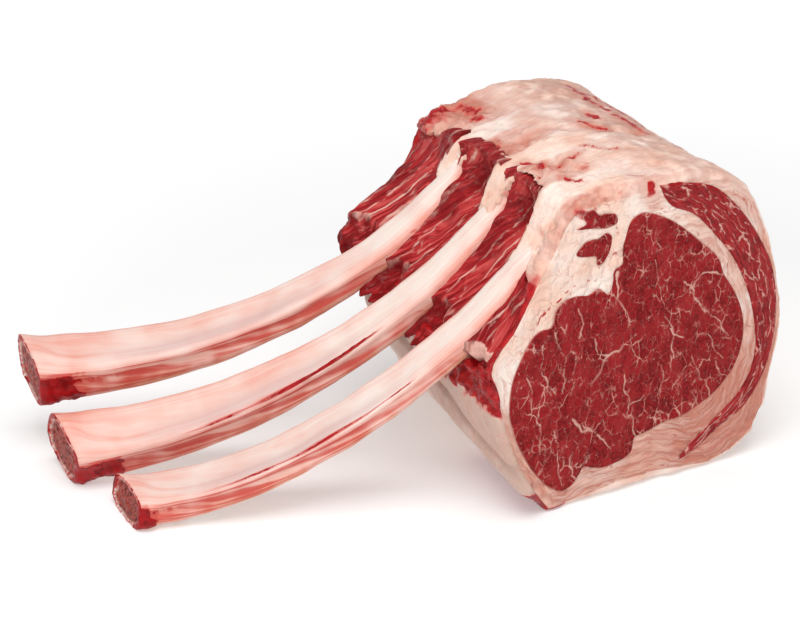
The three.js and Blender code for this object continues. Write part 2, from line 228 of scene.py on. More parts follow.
class Grain:
    """Seeded gradient noise in space, about -0.7 to 0.7: slopes at lattice corners, blended smoothly."""

    def __init__(self, seed: int) -> None:
        """Draws the order and the slopes of the lattice corners.

        Args:
            seed: Start of the random draws.
        """
        draw = np.random.default_rng(seed)
        slopes = draw.normal(size=(256, 3))
        self.order = draw.permutation(256)
        self.slopes = slopes / np.linalg.norm(slopes, axis=1, keepdims=True)

    def at(self, points: Array, size: float | tuple[float, float, float]) -> Array:
        """Noise at points in space.

        Args:
            points: Places of shape (..., 3).
            size: Width of the lumps in millimetres, one for all directions or one for each.

        Returns:
            Values of shape (...).
        """
        scaled = points / np.asarray(size, float)
        cell = np.floor(scaled).astype(int)
        part = scaled - cell
        fade = part**3 * (part * (part * 6 - 15) + 10)
        total = np.zeros(points.shape[:-1])
        for corner in np.ndindex(2, 2, 2):
            place = (cell + corner) & 255
            key = self.order[place[..., 0]]
            for axis in (1, 2):
                key = self.order[(key + place[..., axis]) & 255]
            weight = np.prod(np.where(np.array(corner, bool), fade, 1 - fade), axis=-1)
            total += weight * np.sum(self.slopes[key] * (part - np.array(corner)), axis=-1)
        return total

    def layers(self, points: Array, size: float, count: int = 3) -> Array:
        """Sum of noise of halving size and height, the coarsest of the given size."""
        return sum(self.at(points + 17.3 * k, size / 2**k) / 2**k for k in range(count))


GRAIN = Grain(7)


def quads(rows: int, columns: int, wrap: bool, start: int = 0) -> Array:
    """Corner numbers of a grid's quads, row by row.

    Args:
        rows: Rows of points.
        columns: Points in a row.
        wrap: Whether the columns close into a ring.
        start: Number of the grid's first point.

    Returns:
        Corner numbers of shape (quads, 4).
    """
    r = np.arange(rows - 1)[:, None]
    c = np.arange(columns if wrap else columns - 1)[None, :]
    here = r * columns + c
    beside = r * columns + (c + 1) % columns
    return joined(here, beside, beside + columns, here + columns).reshape(-1, 4) + start


def border(rows: int, columns: int) -> Array:
    """Corner numbers along the edge of a grid, once round.

    Args:
        rows: Rows of points.
        columns: Points in a row.

    Returns:
        The numbers, from the first corner along the first row.
    """
    top = np.arange(columns - 1)
    right = np.arange(rows - 1) * columns + columns - 1
    bottom = (rows - 1) * columns + np.arange(columns - 1, 0, -1)
    left = np.arange(rows - 1, 0, -1) * columns
    return np.concatenate([top, right, bottom, left])


def ribbon(one: Array, two: Array) -> Array:
    """Quads between two rings of corner numbers of equal length."""
    return joined(np.roll(one, -1), one, two, np.roll(two, -1))


def grid_normals(grid: Array, wrap: bool) -> Array:
    """Unit normals of a grid surface from the cross product of its row and column slopes.

    Args:
        grid: Points of shape (rows, columns, 3).
        wrap: Whether the columns close into a ring.

    Returns:
        Normals of the same shape.
    """
    if wrap:
        across = np.roll(grid, -1, axis=1) - np.roll(grid, 1, axis=1)
    else:
        across = np.gradient(grid, axis=1)
    normal = np.cross(np.gradient(grid, axis=0), across)
    return normal / np.maximum(np.linalg.norm(normal, axis=-1, keepdims=True), TINY)


@dataclass
class Surface:
    """A closed mesh in millimetres: points, faces, values at the points and a flat map for grain."""

    points: Array
    faces: list[Array]
    layers: Layers
    grain: list[Array] | None = None

    def lay_grain(self, flat: Array) -> Surface:
        """Takes the grain of every face corner from a flat place for each point."""
        self.grain = [flat[group] for group in self.faces]
        return self

    def volume(self) -> float:
        """Signed volume: the sum of the tetrahedra from the origin to fans over the faces.

        Returns:
            Cubic millimetres, above 0 where the faces turn outwards.
        """
        total = 0.0
        for group in self.faces:
            corner = self.points[group]
            for k in range(1, group.shape[1] - 1):
                total += np.einsum("ij,ij->", corner[:, 0], np.cross(corner[:, k], corner[:, k + 1]))
        return total / 6

    def add(self, name: str, node: str, slot: Slot, material: bpy.types.Material) -> None:
        """Puts the mesh into the scene in place of a solid, with its faces turned outwards.

        Args:
            name: Name of the piece.
            node: Solid that the piece stands for.
            slot: Not used.
            material: Finish of the piece.
        """
        turn = 1 if self.volume() > 0 else -1
        corners = np.concatenate([group[:, ::turn].ravel() for group in self.faces]).astype(np.int32)
        sizes = np.concatenate([np.full(len(group), group.shape[1]) for group in self.faces])
        mesh = bpy.data.meshes.new(name)
        mesh.vertices.add(len(self.points))
        mesh.vertices.foreach_set("co", (self.points * MM).astype(np.float32).ravel())
        mesh.loops.add(len(corners))
        mesh.loops.foreach_set("vertex_index", corners)
        mesh.polygons.add(len(sizes))
        mesh.polygons.foreach_set("loop_start", (np.cumsum(sizes) - sizes).astype(np.int32))
        mesh.polygons.foreach_set("use_smooth", np.ones(len(sizes), bool))
        if self.grain is not None:
            flat = np.concatenate([group[:, ::turn].reshape(-1, 2) for group in self.grain])
            layer = mesh.uv_layers.new(name="grain")
            layer.data.foreach_set("uv", (flat * MM).astype(np.float32).ravel())
        for key, values in self.layers.items():
            attribute = mesh.attributes.new(key, "FLOAT", "POINT")
            attribute.data.foreach_set("value", values.astype(np.float32).ravel())
        mesh.update(calc_edges=True)
        mesh.validate()
        mesh.materials.append(material)
        piece = bpy.data.objects.new(name, mesh)
        bpy.context.scene.collection.objects.link(piece)
        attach(piece, BODY)
        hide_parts(node)
        LOG.info("%s: %d faces for %s", name, len(sizes), node)


def slab(upper: Array, lower: Array) -> tuple[Array, list[Array]]:
    """A closed body between two grids of points of one size, with a wall round their edges.

    Args:
        upper: Points of shape (rows, columns, 3).
        lower: Points of the same shape.

    Returns:
        All points, the upper ones first, and the groups of faces.
    """
    rows, columns = upper.shape[:2]
    below = rows * columns
    edge = border(rows, columns)
    faces = [quads(rows, columns, False), quads(rows, columns, False, below)[:, ::-1]]
    faces.append(ribbon(edge, edge + below))
    return np.concatenate([upper.reshape(-1, 3), lower.reshape(-1, 3)]), faces


def add_node(tree: bpy.types.NodeTree, kind: str, inputs: dict | None = None, out: int | str = 0,
             **settings: object) -> Socket | None:
    """Adds a shader node.

    Args:
        tree: Tree of the material.
        kind: Blender's name for the node, without the "ShaderNode" before it.
        inputs: Socket name or number to a value, or to another node's output to link.
        out: Number or name of the output to return.
        settings: Properties of the node.

    Returns:
        The output, or None from a node without outputs.
    """
    node = tree.nodes.new("ShaderNode" + kind)
    for key, value in settings.items():
        setattr(node, key, value)
    for key, value in (inputs or {}).items():
        if isinstance(value, bpy.types.NodeSocket):
            tree.links.new(value, node.inputs[key])
        else:
            node.inputs[key].default_value = value
    return node.outputs[out] if node.outputs else None


def new_material(name: str) -> tuple[bpy.types.Material, Maker]:
    """Adds an empty node material.

    Args:
        name: Name of the material.

    Returns:
        The material, and the function that adds a node to it.
    """
    material = bpy.data.materials.new(name)
    material.use_nodes = True
    material.node_tree.nodes.clear()
    return material, partial(add_node, material.node_tree)


def per_mm(size: float) -> float:
    """Scale of a texture whose features are size millimetres wide."""
    return 1 / (size * MM)


def drawn_out(length: float, width: float) -> tuple[float, float, float]:
    """Scales of a texture whose features are drawn out along the grain."""
    return per_mm(length), per_mm(width), 1.0


def wander(node: Maker, place: Socket, size: float, reach: float) -> Socket:
    """Moves a place by smooth noise.

    Args:
        node: Function that adds a node to the material.
        place: Socket with the place.
        size: Width of the noise's lumps in millimetres.
        reach: About the greatest move in millimetres.

    Returns:
        Socket with the moved place.
    """
    noise = node("TexNoise", {"Vector": place, "Scale": per_mm(size), "Detail": 2.0}, "Color")
    centred = node("VectorMath", {0: noise, 1: (0.5, 0.5, 0.5)}, operation="SUBTRACT")
    gain = (2 * reach * MM,) * 3
    return node("VectorMath", {0: centred, 1: gain, 2: place}, operation="MULTIPLY_ADD")


def moist_surface(node: Maker, ground: str, coats: Coats, bumps: Bumps, inputs: dict) -> None:
    """Gives a material its colours, its relief and its shine.

    Args:
        node: Function that adds a node to the material.
        ground: Colour under all others.
        coats: Share and colour of what lies over it, from the lowest up.
        bumps: Height, strength and depth in millimetres of each layer of relief.
        inputs: Other inputs of the surface shader.
    """
    colour = linear(ground)
    for share, coat in coats:
        over = linear(coat) if isinstance(coat, str) else coat
        colour = node("Mix", {0: share, 6: colour, 7: over}, 2, data_type="RGBA")
    relief = {}
    for height, strength, depth in bumps:
        relief["Normal"] = node("Bump", {
            "Height": height, "Strength": strength, "Distance": depth * MM, **relief})
    node("OutputMaterial", {"Surface": node("BsdfPrincipled", {"Base Color": colour, **relief, **inputs})})


@dataclass(frozen=True)
class LeanCut:
    """Raw lean beef cut across its fibres: bundles of fibres in a moist surface, with fat in the seams.

    The eye sees a deep red, grained by the fibres, fine broken pale threads between the bundles, pale
    flecks and soft moist highlights.
    """

    deep: str = "690a10"
    middle: str = "991a1f"
    light: str = "a72a2b"
    thread: str = "d99f91"
    vein: str = "e0b0a2"
    fibre: float = 1.0
    seams: tuple[tuple[float, float, float], ...] = ((7.2, 0.42, 0.95), (3.4, 0.24, 0.5))
    roughness: float = 0.45

    def material(self) -> bpy.types.Material:
        """Builds the finish. Layer "vein" holds the large veins and the pale edge, which is partly painted
        light, 0 to 1.

        Returns:
            The material.
        """
        material, node = new_material("raw_lean_beef_cut")
        place = node("TexCoord", out="Object")
        tall = node("Mapping", {"Vector": place, "Scale": (1.15, 1.0, 0.72)})
        bent = wander(node, tall, 6.0, 2.2)
        fibres = node("TexNoise", {"Vector": place, "Scale": per_mm(self.fibre), "Detail": 3.0})
        bundles = node("TexVoronoi", {"Vector": bent, "Scale": per_mm(self.seams[0][0])}, "Color")
        grey = node("Math", {0: bundles, 1: 0.2, 2: fibres}, operation="MULTIPLY_ADD")
        tone = node("MapRange", {"Value": grey, "From Min": 0.46, "From Max": 0.7})
        broad = node("TexNoise", {"Vector": tall, "Scale": per_mm(8.0), "Detail": 5.0})
        warm = node("MapRange", {"Value": broad, "From Min": 0.44, "From Max": 0.7, "To Max": 0.7})
        coats = [(tone, self.middle), (warm, self.light)]

        # Threads of fat round the bundles, strongest at their corners and broken along their length
        for index, (size, width, strength) in enumerate(self.seams):
            cell = {"Vector": bent, "Scale": per_mm(size)}
            gap = node("TexVoronoi", cell, feature="DISTANCE_TO_EDGE")
            edge = node("MapRange", {
                "Value": gap, "From Max": width / size, "To Min": strength, "To Max": 0.0}, **SMOOTH)
            core = node("TexVoronoi", cell)
            corner = node("MapRange", {"Value": core, "From Min": 0.4, "From Max": 0.72, "To Min": 0.25})
            shown = node("TexNoise", {
                "Vector": place, "Scale": per_mm(9.0 - 3.0 * index), "Detail": 5.0, "Roughness": 0.62})
            broken = node("MapRange", {
                "Value": shown, "From Min": 0.48, "From Max": 0.62, "To Min": 0.05}, **SMOOTH)
            near = node("Math", {0: edge, 1: corner}, operation="MULTIPLY")
            coats.append((node("Math", {0: near, 1: broken}, operation="MULTIPLY"), self.thread))

        flecks = node("TexNoise", {"Vector": bent, "Scale": per_mm(1.3), "Detail": 2.0})
        dots = node("MapRange", {
            "Value": flecks, "From Min": 0.68, "From Max": 0.78, "To Max": 0.6}, **SMOOTH)
        vein = node("Attribute", out="Fac", attribute_name="vein")
        coats += [(dots, self.thread), (vein, self.vein)]
        moist_surface(node, self.deep, coats, [(fibres, 0.5, 0.7), (broad, 0.5, 1.6)], {
            "Roughness": self.roughness, "Specular IOR Level": 0.12, **FLESH})
        return material


@dataclass(frozen=True)
class FibreMeat:
    """Raw beef seen along its fibres: long bundles of red between cream membranes, moist.

    The eye sees fine streaks along the strip with painted highlights on them, thin pale lines round the
    bundles, a few pale sheets of membrane, and dark wet flesh with painted shade in the hollows.
    """

    name: str
    deep: str = "74070d"
    middle: str = "b3262a"
    painted_highlight: str = "d2605a"
    film: str = "e6b8a9"
    wet: str = "6e050b"
    streak: tuple[float, float] = (26.0, 1.7)
    bundle: tuple[float, float] = (34.0, 6.5)
    line_width: float = 0.07
    line_strength: float = 0.6
    line_from: float = 0.5
    sheet_from: float = 0.69
    waver: tuple[float, float] = (12.0, 2.4)
    roughness: float = 0.34

    def material(self) -> bpy.types.Material:
        """Builds the finish. Layer "film" marks pale membranes, and the wet layer dark wet flesh and painted
        shade, 0 to 1.

        Returns:
            The material.
        """
        material, node = new_material(self.name)
        film, wet = (node("Attribute", out="Fac", attribute_name=key) for key in ("film", "wet"))
        grain = node("UVMap", uv_map="grain")
        bent = wander(node, grain, *self.waver)
        drawn = node("Mapping", {"Vector": bent, "Scale": drawn_out(*self.streak)})
        streaks = node("TexNoise", {"Vector": drawn, "Scale": 1.0, "Detail": 4.0})
        spread = node("Mapping", {"Vector": bent, "Scale": drawn_out(*self.bundle)})
        laid = {"Vector": spread, "Scale": 1.0}
        bundles = node("TexVoronoi", laid, "Color", voronoi_dimensions="2D")
        grey = node("Math", {0: bundles, 1: 0.2, 2: streaks}, operation="MULTIPLY_ADD")
        tone = node("MapRange", {"Value": grey, "From Min": 0.4, "From Max": 0.7})
        # Painted highlights: a brighter red on the high parts of the streaks
        glow = node("MapRange", {"Value": grey, "From Min": 0.6, "From Max": 0.86, "To Max": 0.8})

        # Pale lines round the bundles, and pale sheets of membrane
        patchy = node("TexNoise", {"Vector": grain, "Scale": per_mm(7.0), "Detail": 5.0, "Roughness": 0.6})
        gaps = node("TexVoronoi", laid, feature="DISTANCE_TO_EDGE", voronoi_dimensions="2D")
        edges = node("MapRange", {"Value": gaps, "From Max": self.line_width,
                                  "To Min": self.line_strength, "To Max": 0.0}, **SMOOTH)
        broken = node("MapRange", {
            "Value": patchy, "From Min": self.line_from, "From Max": self.line_from + 0.14}, **SMOOTH)
        lines = node("Math", {0: edges, 1: broken}, operation="MULTIPLY")
        wide = node("Mapping", {"Vector": bent, "Scale": drawn_out(30.0, 4.0), "Location": (3.0, 7.0, 0.0)})
        sheets = node("TexNoise", {"Vector": wide, "Scale": 1.0, "Detail": 5.0})
        filmy = node("Math", {0: film, 1: 0.27, 2: sheets}, operation="MULTIPLY_ADD")
        sheet = node("MapRange", {
            "Value": filmy, "From Min": self.sheet_from - 0.04, "From Max": self.sheet_from + 0.2,
            "To Max": 0.8}, **SMOOTH)
        pale = node("Math", {0: lines, 1: sheet}, operation="MAXIMUM")

        # Darker where the flesh is wet, and where shade is painted into hollows
        darkening = node("Math", {0: wet, 1: patchy}, operation="ADD")
        dark = node("MapRange", {
            "Value": darkening, "From Min": 0.55, "From Max": 1.2, "To Max": 0.9}, **SMOOTH)
        coats = [(tone, self.middle), (glow, self.painted_highlight), (pale, self.film), (dark, self.wet)]
        moist_surface(node, self.deep, coats, [(streaks, 0.4, 0.8), (patchy, 0.6, 2.0)], {
            "Roughness": self.roughness, "Specular IOR Level": 0.25, **FLESH})
        return material


@dataclass(frozen=True)
class BeefFat:
    """Raw beef fat and its membranes, cut and trimmed with a knife.

    The eye sees cream to peach with soft pink clouds, fibres and creases along the layers, a waxy, slightly
    moist and lumpy surface, and scraps of lean left on it with pink stains round them. Its pink blush and
    grey film also carry painted shade.
    """

    cream: str = "f9e7dc"
    peach: str = "f2c8b3"
    pink: str = "c8806d"
    stain: str = "cf5f55"
    lean: str = "b3161b"
    deep: str = "7a070c"
    crease: str = "b85f50"
    film: str = "bd9f91"
    pad: float = 7.0
    roughness: float = 0.42
    wet_roughness: float = 0.24

    def material(self) -> bpy.types.Material:
        """Builds the finish. Layers "lean", "crease", "pads", "film" and the blush layer are shares from 0 to
        1;
        the film and the blush also hold painted shade.

        Returns:
            The material.
        """
        material, node = new_material("raw_beef_fat")
        lean, zone, padded, film, blush = (
            node("Attribute", out="Fac", attribute_name=key)
            for key in ("lean", "crease", "pads", "film", "blush"))
        place = node("TexCoord", out="Object")
        flow = wander(node, node("UVMap", uv_map="grain"), 15.0, 5.0)
        clouds = node("TexNoise", {"Vector": place, "Scale": per_mm(26.0), "Detail": 5.0})
        cloud = node("MapRange", {"Value": clouds, "From Min": 0.38, "From Max": 0.64})
        drawn = node("Mapping", {"Vector": flow, "Scale": drawn_out(24.0, 2.0)})
        fibres = node("TexNoise", {"Vector": drawn, "Scale": 1.0, "Detail": 4.0})
        streak = node("MapRange", {
            "Value": fibres, "From Min": 0.4, "From Max": 0.7, "To Min": -0.2, "To Max": 0.35})
        # Pink from streaks in the crease zone and from the blush layer, which also holds painted shade
        pinkness = node("Math", {0: streak, 1: zone, 2: blush}, operation="MULTIPLY_ADD", use_clamp=True)

        # Creases along the layers where noise passes whole levels, and cracks between pads of fat
        folded = node("Mapping", {
            "Vector": flow, "Scale": drawn_out(26.0, 8.0), "Location": (5.0, 3.0, 0.0)})
        folds = node("TexNoise", {"Vector": folded, "Scale": 1.0, "Detail": 3.0})
        level = node("Math", {0: folds, 1: 5.5}, operation="MULTIPLY")
        gap = node("Math", {0: level, 1: 0.5}, operation="PINGPONG")
        thin = node("MapRange", {"Value": gap, "From Max": 0.1, "To Min": 0.85, "To Max": 0.0}, **SMOOTH)
        pads = node("TexVoronoi", {
            "Vector": wander(node, place, 6.0, 2.6), "Scale": per_mm(self.pad)}, feature="DISTANCE_TO_EDGE")
        pillow = node("MapRange", {"Value": pads, "From Max": 0.3}, **SMOOTH)
        crack = node("MapRange", {"Value": pads, "From Max": 0.035, "To Min": 0.8, "To Max": 0.0}, **SMOOTH)
        mottle = node("TexNoise", {"Vector": place, "Scale": per_mm(5.0), "Detail": 5.0, "Roughness": 0.6})
        some = node("MapRange", {"Value": mottle, "From Min": 0.45, "From Max": 0.62})
        flowing = node("Math", {0: thin, 1: zone}, operation="MULTIPLY")
        cracked = node("Math", {0: crack, 1: padded}, operation="MULTIPLY")
        either = node("Math", {0: flowing, 1: cracked}, operation="MAXIMUM")
        creases = node("Math", {0: either, 1: some}, operation="MULTIPLY")

        # Ragged scraps of wet lean, with a stain round each
        ragged = node("Math", {0: mottle, 1: 1.4, 2: lean}, operation="MULTIPLY_ADD")
        stained = node("MapRange", {
            "Value": ragged, "From Min": 0.85, "From Max": 1.35, "To Max": 0.8}, **SMOOTH)
        scrap = node("MapRange", {"Value": ragged, "From Min": 1.25, "From Max": 1.55}, **SMOOTH)
        tone = node("MapRange", {"Value": mottle, "From Min": 0.34, "From Max": 0.58})
        red = node("Mix", {0: tone, 6: linear(self.deep), 7: linear(self.lean)}, 2, data_type="RGBA")
        uneven = node("MapRange", {"Value": scrap, "To Min": 0.3, "To Max": 0.8})
        shine = node("MapRange", {"Value": scrap, "To Min": self.roughness, "To Max": self.wet_roughness})
        coats = [(cloud, self.peach), (pinkness, self.pink), (film, self.film), (creases, self.crease),
                 (stained, self.stain), (scrap, red)]
        moist_surface(node, self.cream, coats, [
            (mottle, uneven, 1.5), (gap, zone, 0.8), (pillow, padded, 0.5)], {
            "Roughness": shine, "IOR": 1.44, "Specular IOR Level": 0.35, "Subsurface Weight": 0.1,
            "Subsurface Radius": (1.0, 0.5, 0.35), "Subsurface Scale": 3 * MM})
        return material


@dataclass(frozen=True)
class BaredBone:
    """Fresh rib bone scraped bare, with moist membrane left on it and a sawn, porous end.

    The eye sees ivory with salmon clouds, streaks along the bone, a grey-lilac band of painted shade, red
    stains and smears of blood, and a brown spongy end inside a pale rim.
    """

    ivory: str = "f3e2d8"
    salmon: str = "e99987"
    tan: str = "dfa277"
    lilac: str = "cfb3b0"
    stain: str = "c8433c"
    blood: str = "a60c12"
    deep: str = "74070c"
    sponge: str = "a5483c"
    pore: str = "5c1613"
    roughness: float = 0.36

    def material(self) -> bpy.types.Material:
        """Builds the finish. Layers "salmon", "tan", "blood" and "sponge", and the lilac layer of painted
        shade, are shares from 0 to 1.

        Returns:
            The material.
        """
        material, node = new_material("fresh_rib_bone")
        salmon, tan, lilac, blood, sponge = (
            node("Attribute", out="Fac", attribute_name=key)
            for key in ("salmon", "tan", "lilac", "blood", "sponge"))
        place = node("TexCoord", out="Object")
        flow = wander(node, node("UVMap", uv_map="grain"), 40.0, 1.4)
        drawn = node("Mapping", {"Vector": flow, "Scale": drawn_out(70.0, 2.2)})
        streaks = node("TexNoise", {"Vector": drawn, "Scale": 1.0, "Detail": 5.0})
        vary = node("MapRange", {
            "Value": streaks, "From Min": 0.3, "From Max": 0.7, "To Min": -0.2, "To Max": 0.2}, clamp=False)
        clouded = node("Math", {0: salmon, 1: vary}, operation="ADD", use_clamp=True)
        pores = node("TexVoronoi", {"Vector": wander(node, place, 3.0, 0.8), "Scale": per_mm(1.7)})
        pore = node("MapRange", {
            "Value": pores, "From Min": 0.2, "From Max": 0.62, "To Min": 1.0, "To Max": 0.0})
        spongy = node("Mix", {0: pore, 6: linear(self.sponge), 7: linear(self.pore)}, 2, data_type="RGBA")

        # Thin stains that follow the streaks, and thick ragged blood
        mottle = node("TexNoise", {"Vector": place, "Scale": per_mm(4.5), "Detail": 5.0, "Roughness": 0.62})
        smeared = node("Math", {0: vary, 1: 1.8, 2: blood}, operation="MULTIPLY_ADD")
        thin = node("MapRange", {
            "Value": smeared, "From Min": 0.32, "From Max": 0.8, "To Max": 0.85}, **SMOOTH)
        ragged = node("Math", {0: blood, 1: mottle}, operation="ADD")
        thick = node("MapRange", {"Value": ragged, "From Min": 1.32, "From Max": 1.48}, **SMOOTH)
        tone = node("MapRange", {"Value": mottle, "From Min": 0.32, "From Max": 0.56})
        red = node("Mix", {0: tone, 6: linear(self.deep), 7: linear(self.blood)}, 2, data_type="RGBA")
        coats = [(clouded, self.salmon), (tan, self.tan), (lilac, self.lilac), (sponge, spongy),
                 (thin, self.stain), (thick, red)]
        moist_surface(node, self.ivory, coats, [(streaks, 0.25, 0.8), (mottle, 0.3, 1.0)], {
            "Roughness": self.roughness, "IOR": 1.45, "Specular IOR Level": 0.25, "Subsurface Weight": 0.06,
            "Subsurface Radius": (1.0, 0.5, 0.35), "Subsurface Scale": 2 * MM})
        return material


@dataclass(frozen=True)
class Block:
    """The block of meat: two cut faces and an outline that is carried aslant from one to the other."""

    front: float = -84.0
    back: float = 84.0
    skew: float = 14.0
    rim: float = 6.0
    side_rim: float = 0.3
    lump: float = 1.1
    taper: float = 7.0
    drop: float = 6.0
    rise: float = 2.0
    muscle_turn: float = math.radians(-3)
    muscle_scale: float = 0.88
    centre: tuple[float, float] = (-5.0, 78.0)
    outline: Line = (
        (47, 0), (66, 8), (77, 20), (83, 44), (87, 71), (82, 106), (69, 139), (53, 156), (23, 166), (-5, 167),
        (-30, 164), (-45, 160), (-58, 137), (-76, 108), (-92, 87), (-87, 74), (-83, 55), (-74, 30), (-64, 13),
        (-55, 0))

    def aslant(self, y: Array | float) -> Array:
        """How far a section at y lies to the right of the front face: in proportion to its depth."""
        return self.skew * (y - self.front) / (self.back - self.front)

    def place(self, x: Array, z: Array, y: Array) -> Array:
        """Carries points of the front outline to the section at y.

        The point keeps its direction from the middle. Its distance gains low lumps and loses the rounded
        rim. Towards the back the left flank draws in, and the top drops at the left and rises at the right.

        Args:
            x: X on the outline.
            z: Z on the outline.
            y: Depth of the section.

        Returns:
            Points in space, of the broadcast shape and 3.
        """
        dx, dz = x - self.centre[0], z - self.centre[1]
        radius, angle = np.hypot(dx, dz), np.arctan2(dz, dx)
        waves = np.sin(5 * angle + y / 21) + np.sin(8 * angle - y / 15 + 1)
        lump = self.lump / 2 * waves * ease(z, 4, 40)
        inset = np.minimum(np.minimum(y - self.front, self.back - y), self.rim)
        round_off = self.rim - np.sqrt(self.rim**2 - (self.rim - inset) ** 2)
        share = mix(1.0, self.side_rim, ease(np.abs(x), 10, 60))
        scale = (radius + lump - round_off * share) / radius
        behind = ease(y, -60, self.back)
        drawn_in = self.taper * behind * ease(-x, 15, 50) * ease(z, 110, 60)
        tilt = self.rise * ease(x, 15, 50) - self.drop * ease(x, 15, -45)
        raised = tilt * behind * ease(z, 110, 160)
        left = self.centre[0] + dx * scale + drawn_in + self.aslant(y)
        return joined(left, y, self.centre[1] + dz * scale + raised)

    def through(self, x: Array, z: Array, y: Array) -> Array:
        """Carries points of a muscle on the front face to depth y: they shrink and turn about the middle.

        Args:
            x: X on the front face.
            z: Z on the front face.
            y: Depth of the section.

        Returns:
            Points in space, of the broadcast shape and 3.
        """
        part = ease(y, self.front, self.back)
        turn = self.muscle_turn * part
        scale = mix(1.0, self.muscle_scale, part)
        dx, dz = (x - self.centre[0]) * scale, (z - self.centre[1]) * scale
        left = self.centre[0] + dx * np.cos(turn) - dz * np.sin(turn) + self.aslant(y)
        up = self.centre[1] + dx * np.sin(turn) + dz * np.cos(turn)
        return joined(left, y, up)

    def to_front(self, xz: Array, y: float) -> Array:
        """Takes places of a section back to the front face: the muscles' shrinking and turning undone.

        Args:
            xz: Places of shape (..., 2).
            y: Depth of the section.

        Returns:
            Places on the front face, of the same shape.
        """
        part = ease(y, self.front, self.back)
        turn = -self.muscle_turn * part
        scale = 1 / mix(1.0, self.muscle_scale, part)
        dx = xz[..., 0] - self.centre[0] - self.aslant(y)
        dz = xz[..., 1] - self.centre[1]
        return joined(self.centre[0] + scale * (dx * np.cos(turn) - dz * np.sin(turn)),
                      self.centre[1] + scale * (dx * np.sin(turn) + dz * np.cos(turn)))


BLOCK = Block()


@dataclass(frozen=True)
class RibShape:
    """One rib: a strip bent along a cubic curve in an upright plane that slants in plan.

    Attributes:
        name: Name of the piece.
        node: Solid that it stands for.
        y: Place across the block where the slant starts.
        slant: Move in Y for each millimetre towards -X.
        bend: X and Z of the curve's third control point.
        tip: X and Z of the tip.
        depth: Thickness at the tip.
        twist: Turn of the section at the top and at the tip, in degrees.
        saw_skew: How far the saw cut leans along the rib for each millimetre across it.
        saw_undercut: How far it leans for each millimetre down.
        blood: Length of the solid blood on the near side, from the tip.
        smear: Length of the smeared blood.
        flush: Share of salmon on top.
        edge_line: Strength of the red line along the near upper edge.
    """

    name: str
    node: str
    y: float
    slant: float
    bend: tuple[float, float]
    tip: tuple[float, float]
    depth: float
    twist: tuple[float, float]
    saw_skew: float
    saw_undercut: float
    blood: float
    smear: float
    flush: float
    edge_line: float

    def path(self, u: Array) -> tuple[Array, Array]:
        """Place and direction in X and Z, a part u of the way from top to tip: a cubic Bezier curve.

        Args:
            u: Parts of the way, of any shape. Below 0 the curve goes on straight.

        Returns:
            Points and unit directions, of shape (..., 2).
        """
        shift = BLOCK.aslant(self.y) - BLOCK.aslant(RIB_BED.middle_y)
        a, b, c, d = np.array([(RIB_BED.top[0] + shift, RIB_BED.top[1]),
                               (RIB_BED.knee[0] + shift, RIB_BED.knee[1]), self.bend, self.tip], float)
        t = np.maximum(np.asarray(u, float), 0.0)[..., None]
        point = (1 - t)**3 * a + 3 * t * (1 - t)**2 * b + 3 * t**2 * (1 - t) * c + t**3 * d
        slope = 3 * ((1 - t)**2 * (b - a) + 2 * t * (1 - t) * (c - b) + t**2 * (d - c))
        point = point + np.minimum(np.asarray(u, float), 0.0)[..., None] * slope
        return point, slope / np.linalg.norm(slope, axis=-1, keepdims=True)

    def middle(self, x: Array) -> Array:
        """Y of the rib's middle where the rib passes x."""
        return self.y + self.slant * (RIB_BED.slant_from - x)


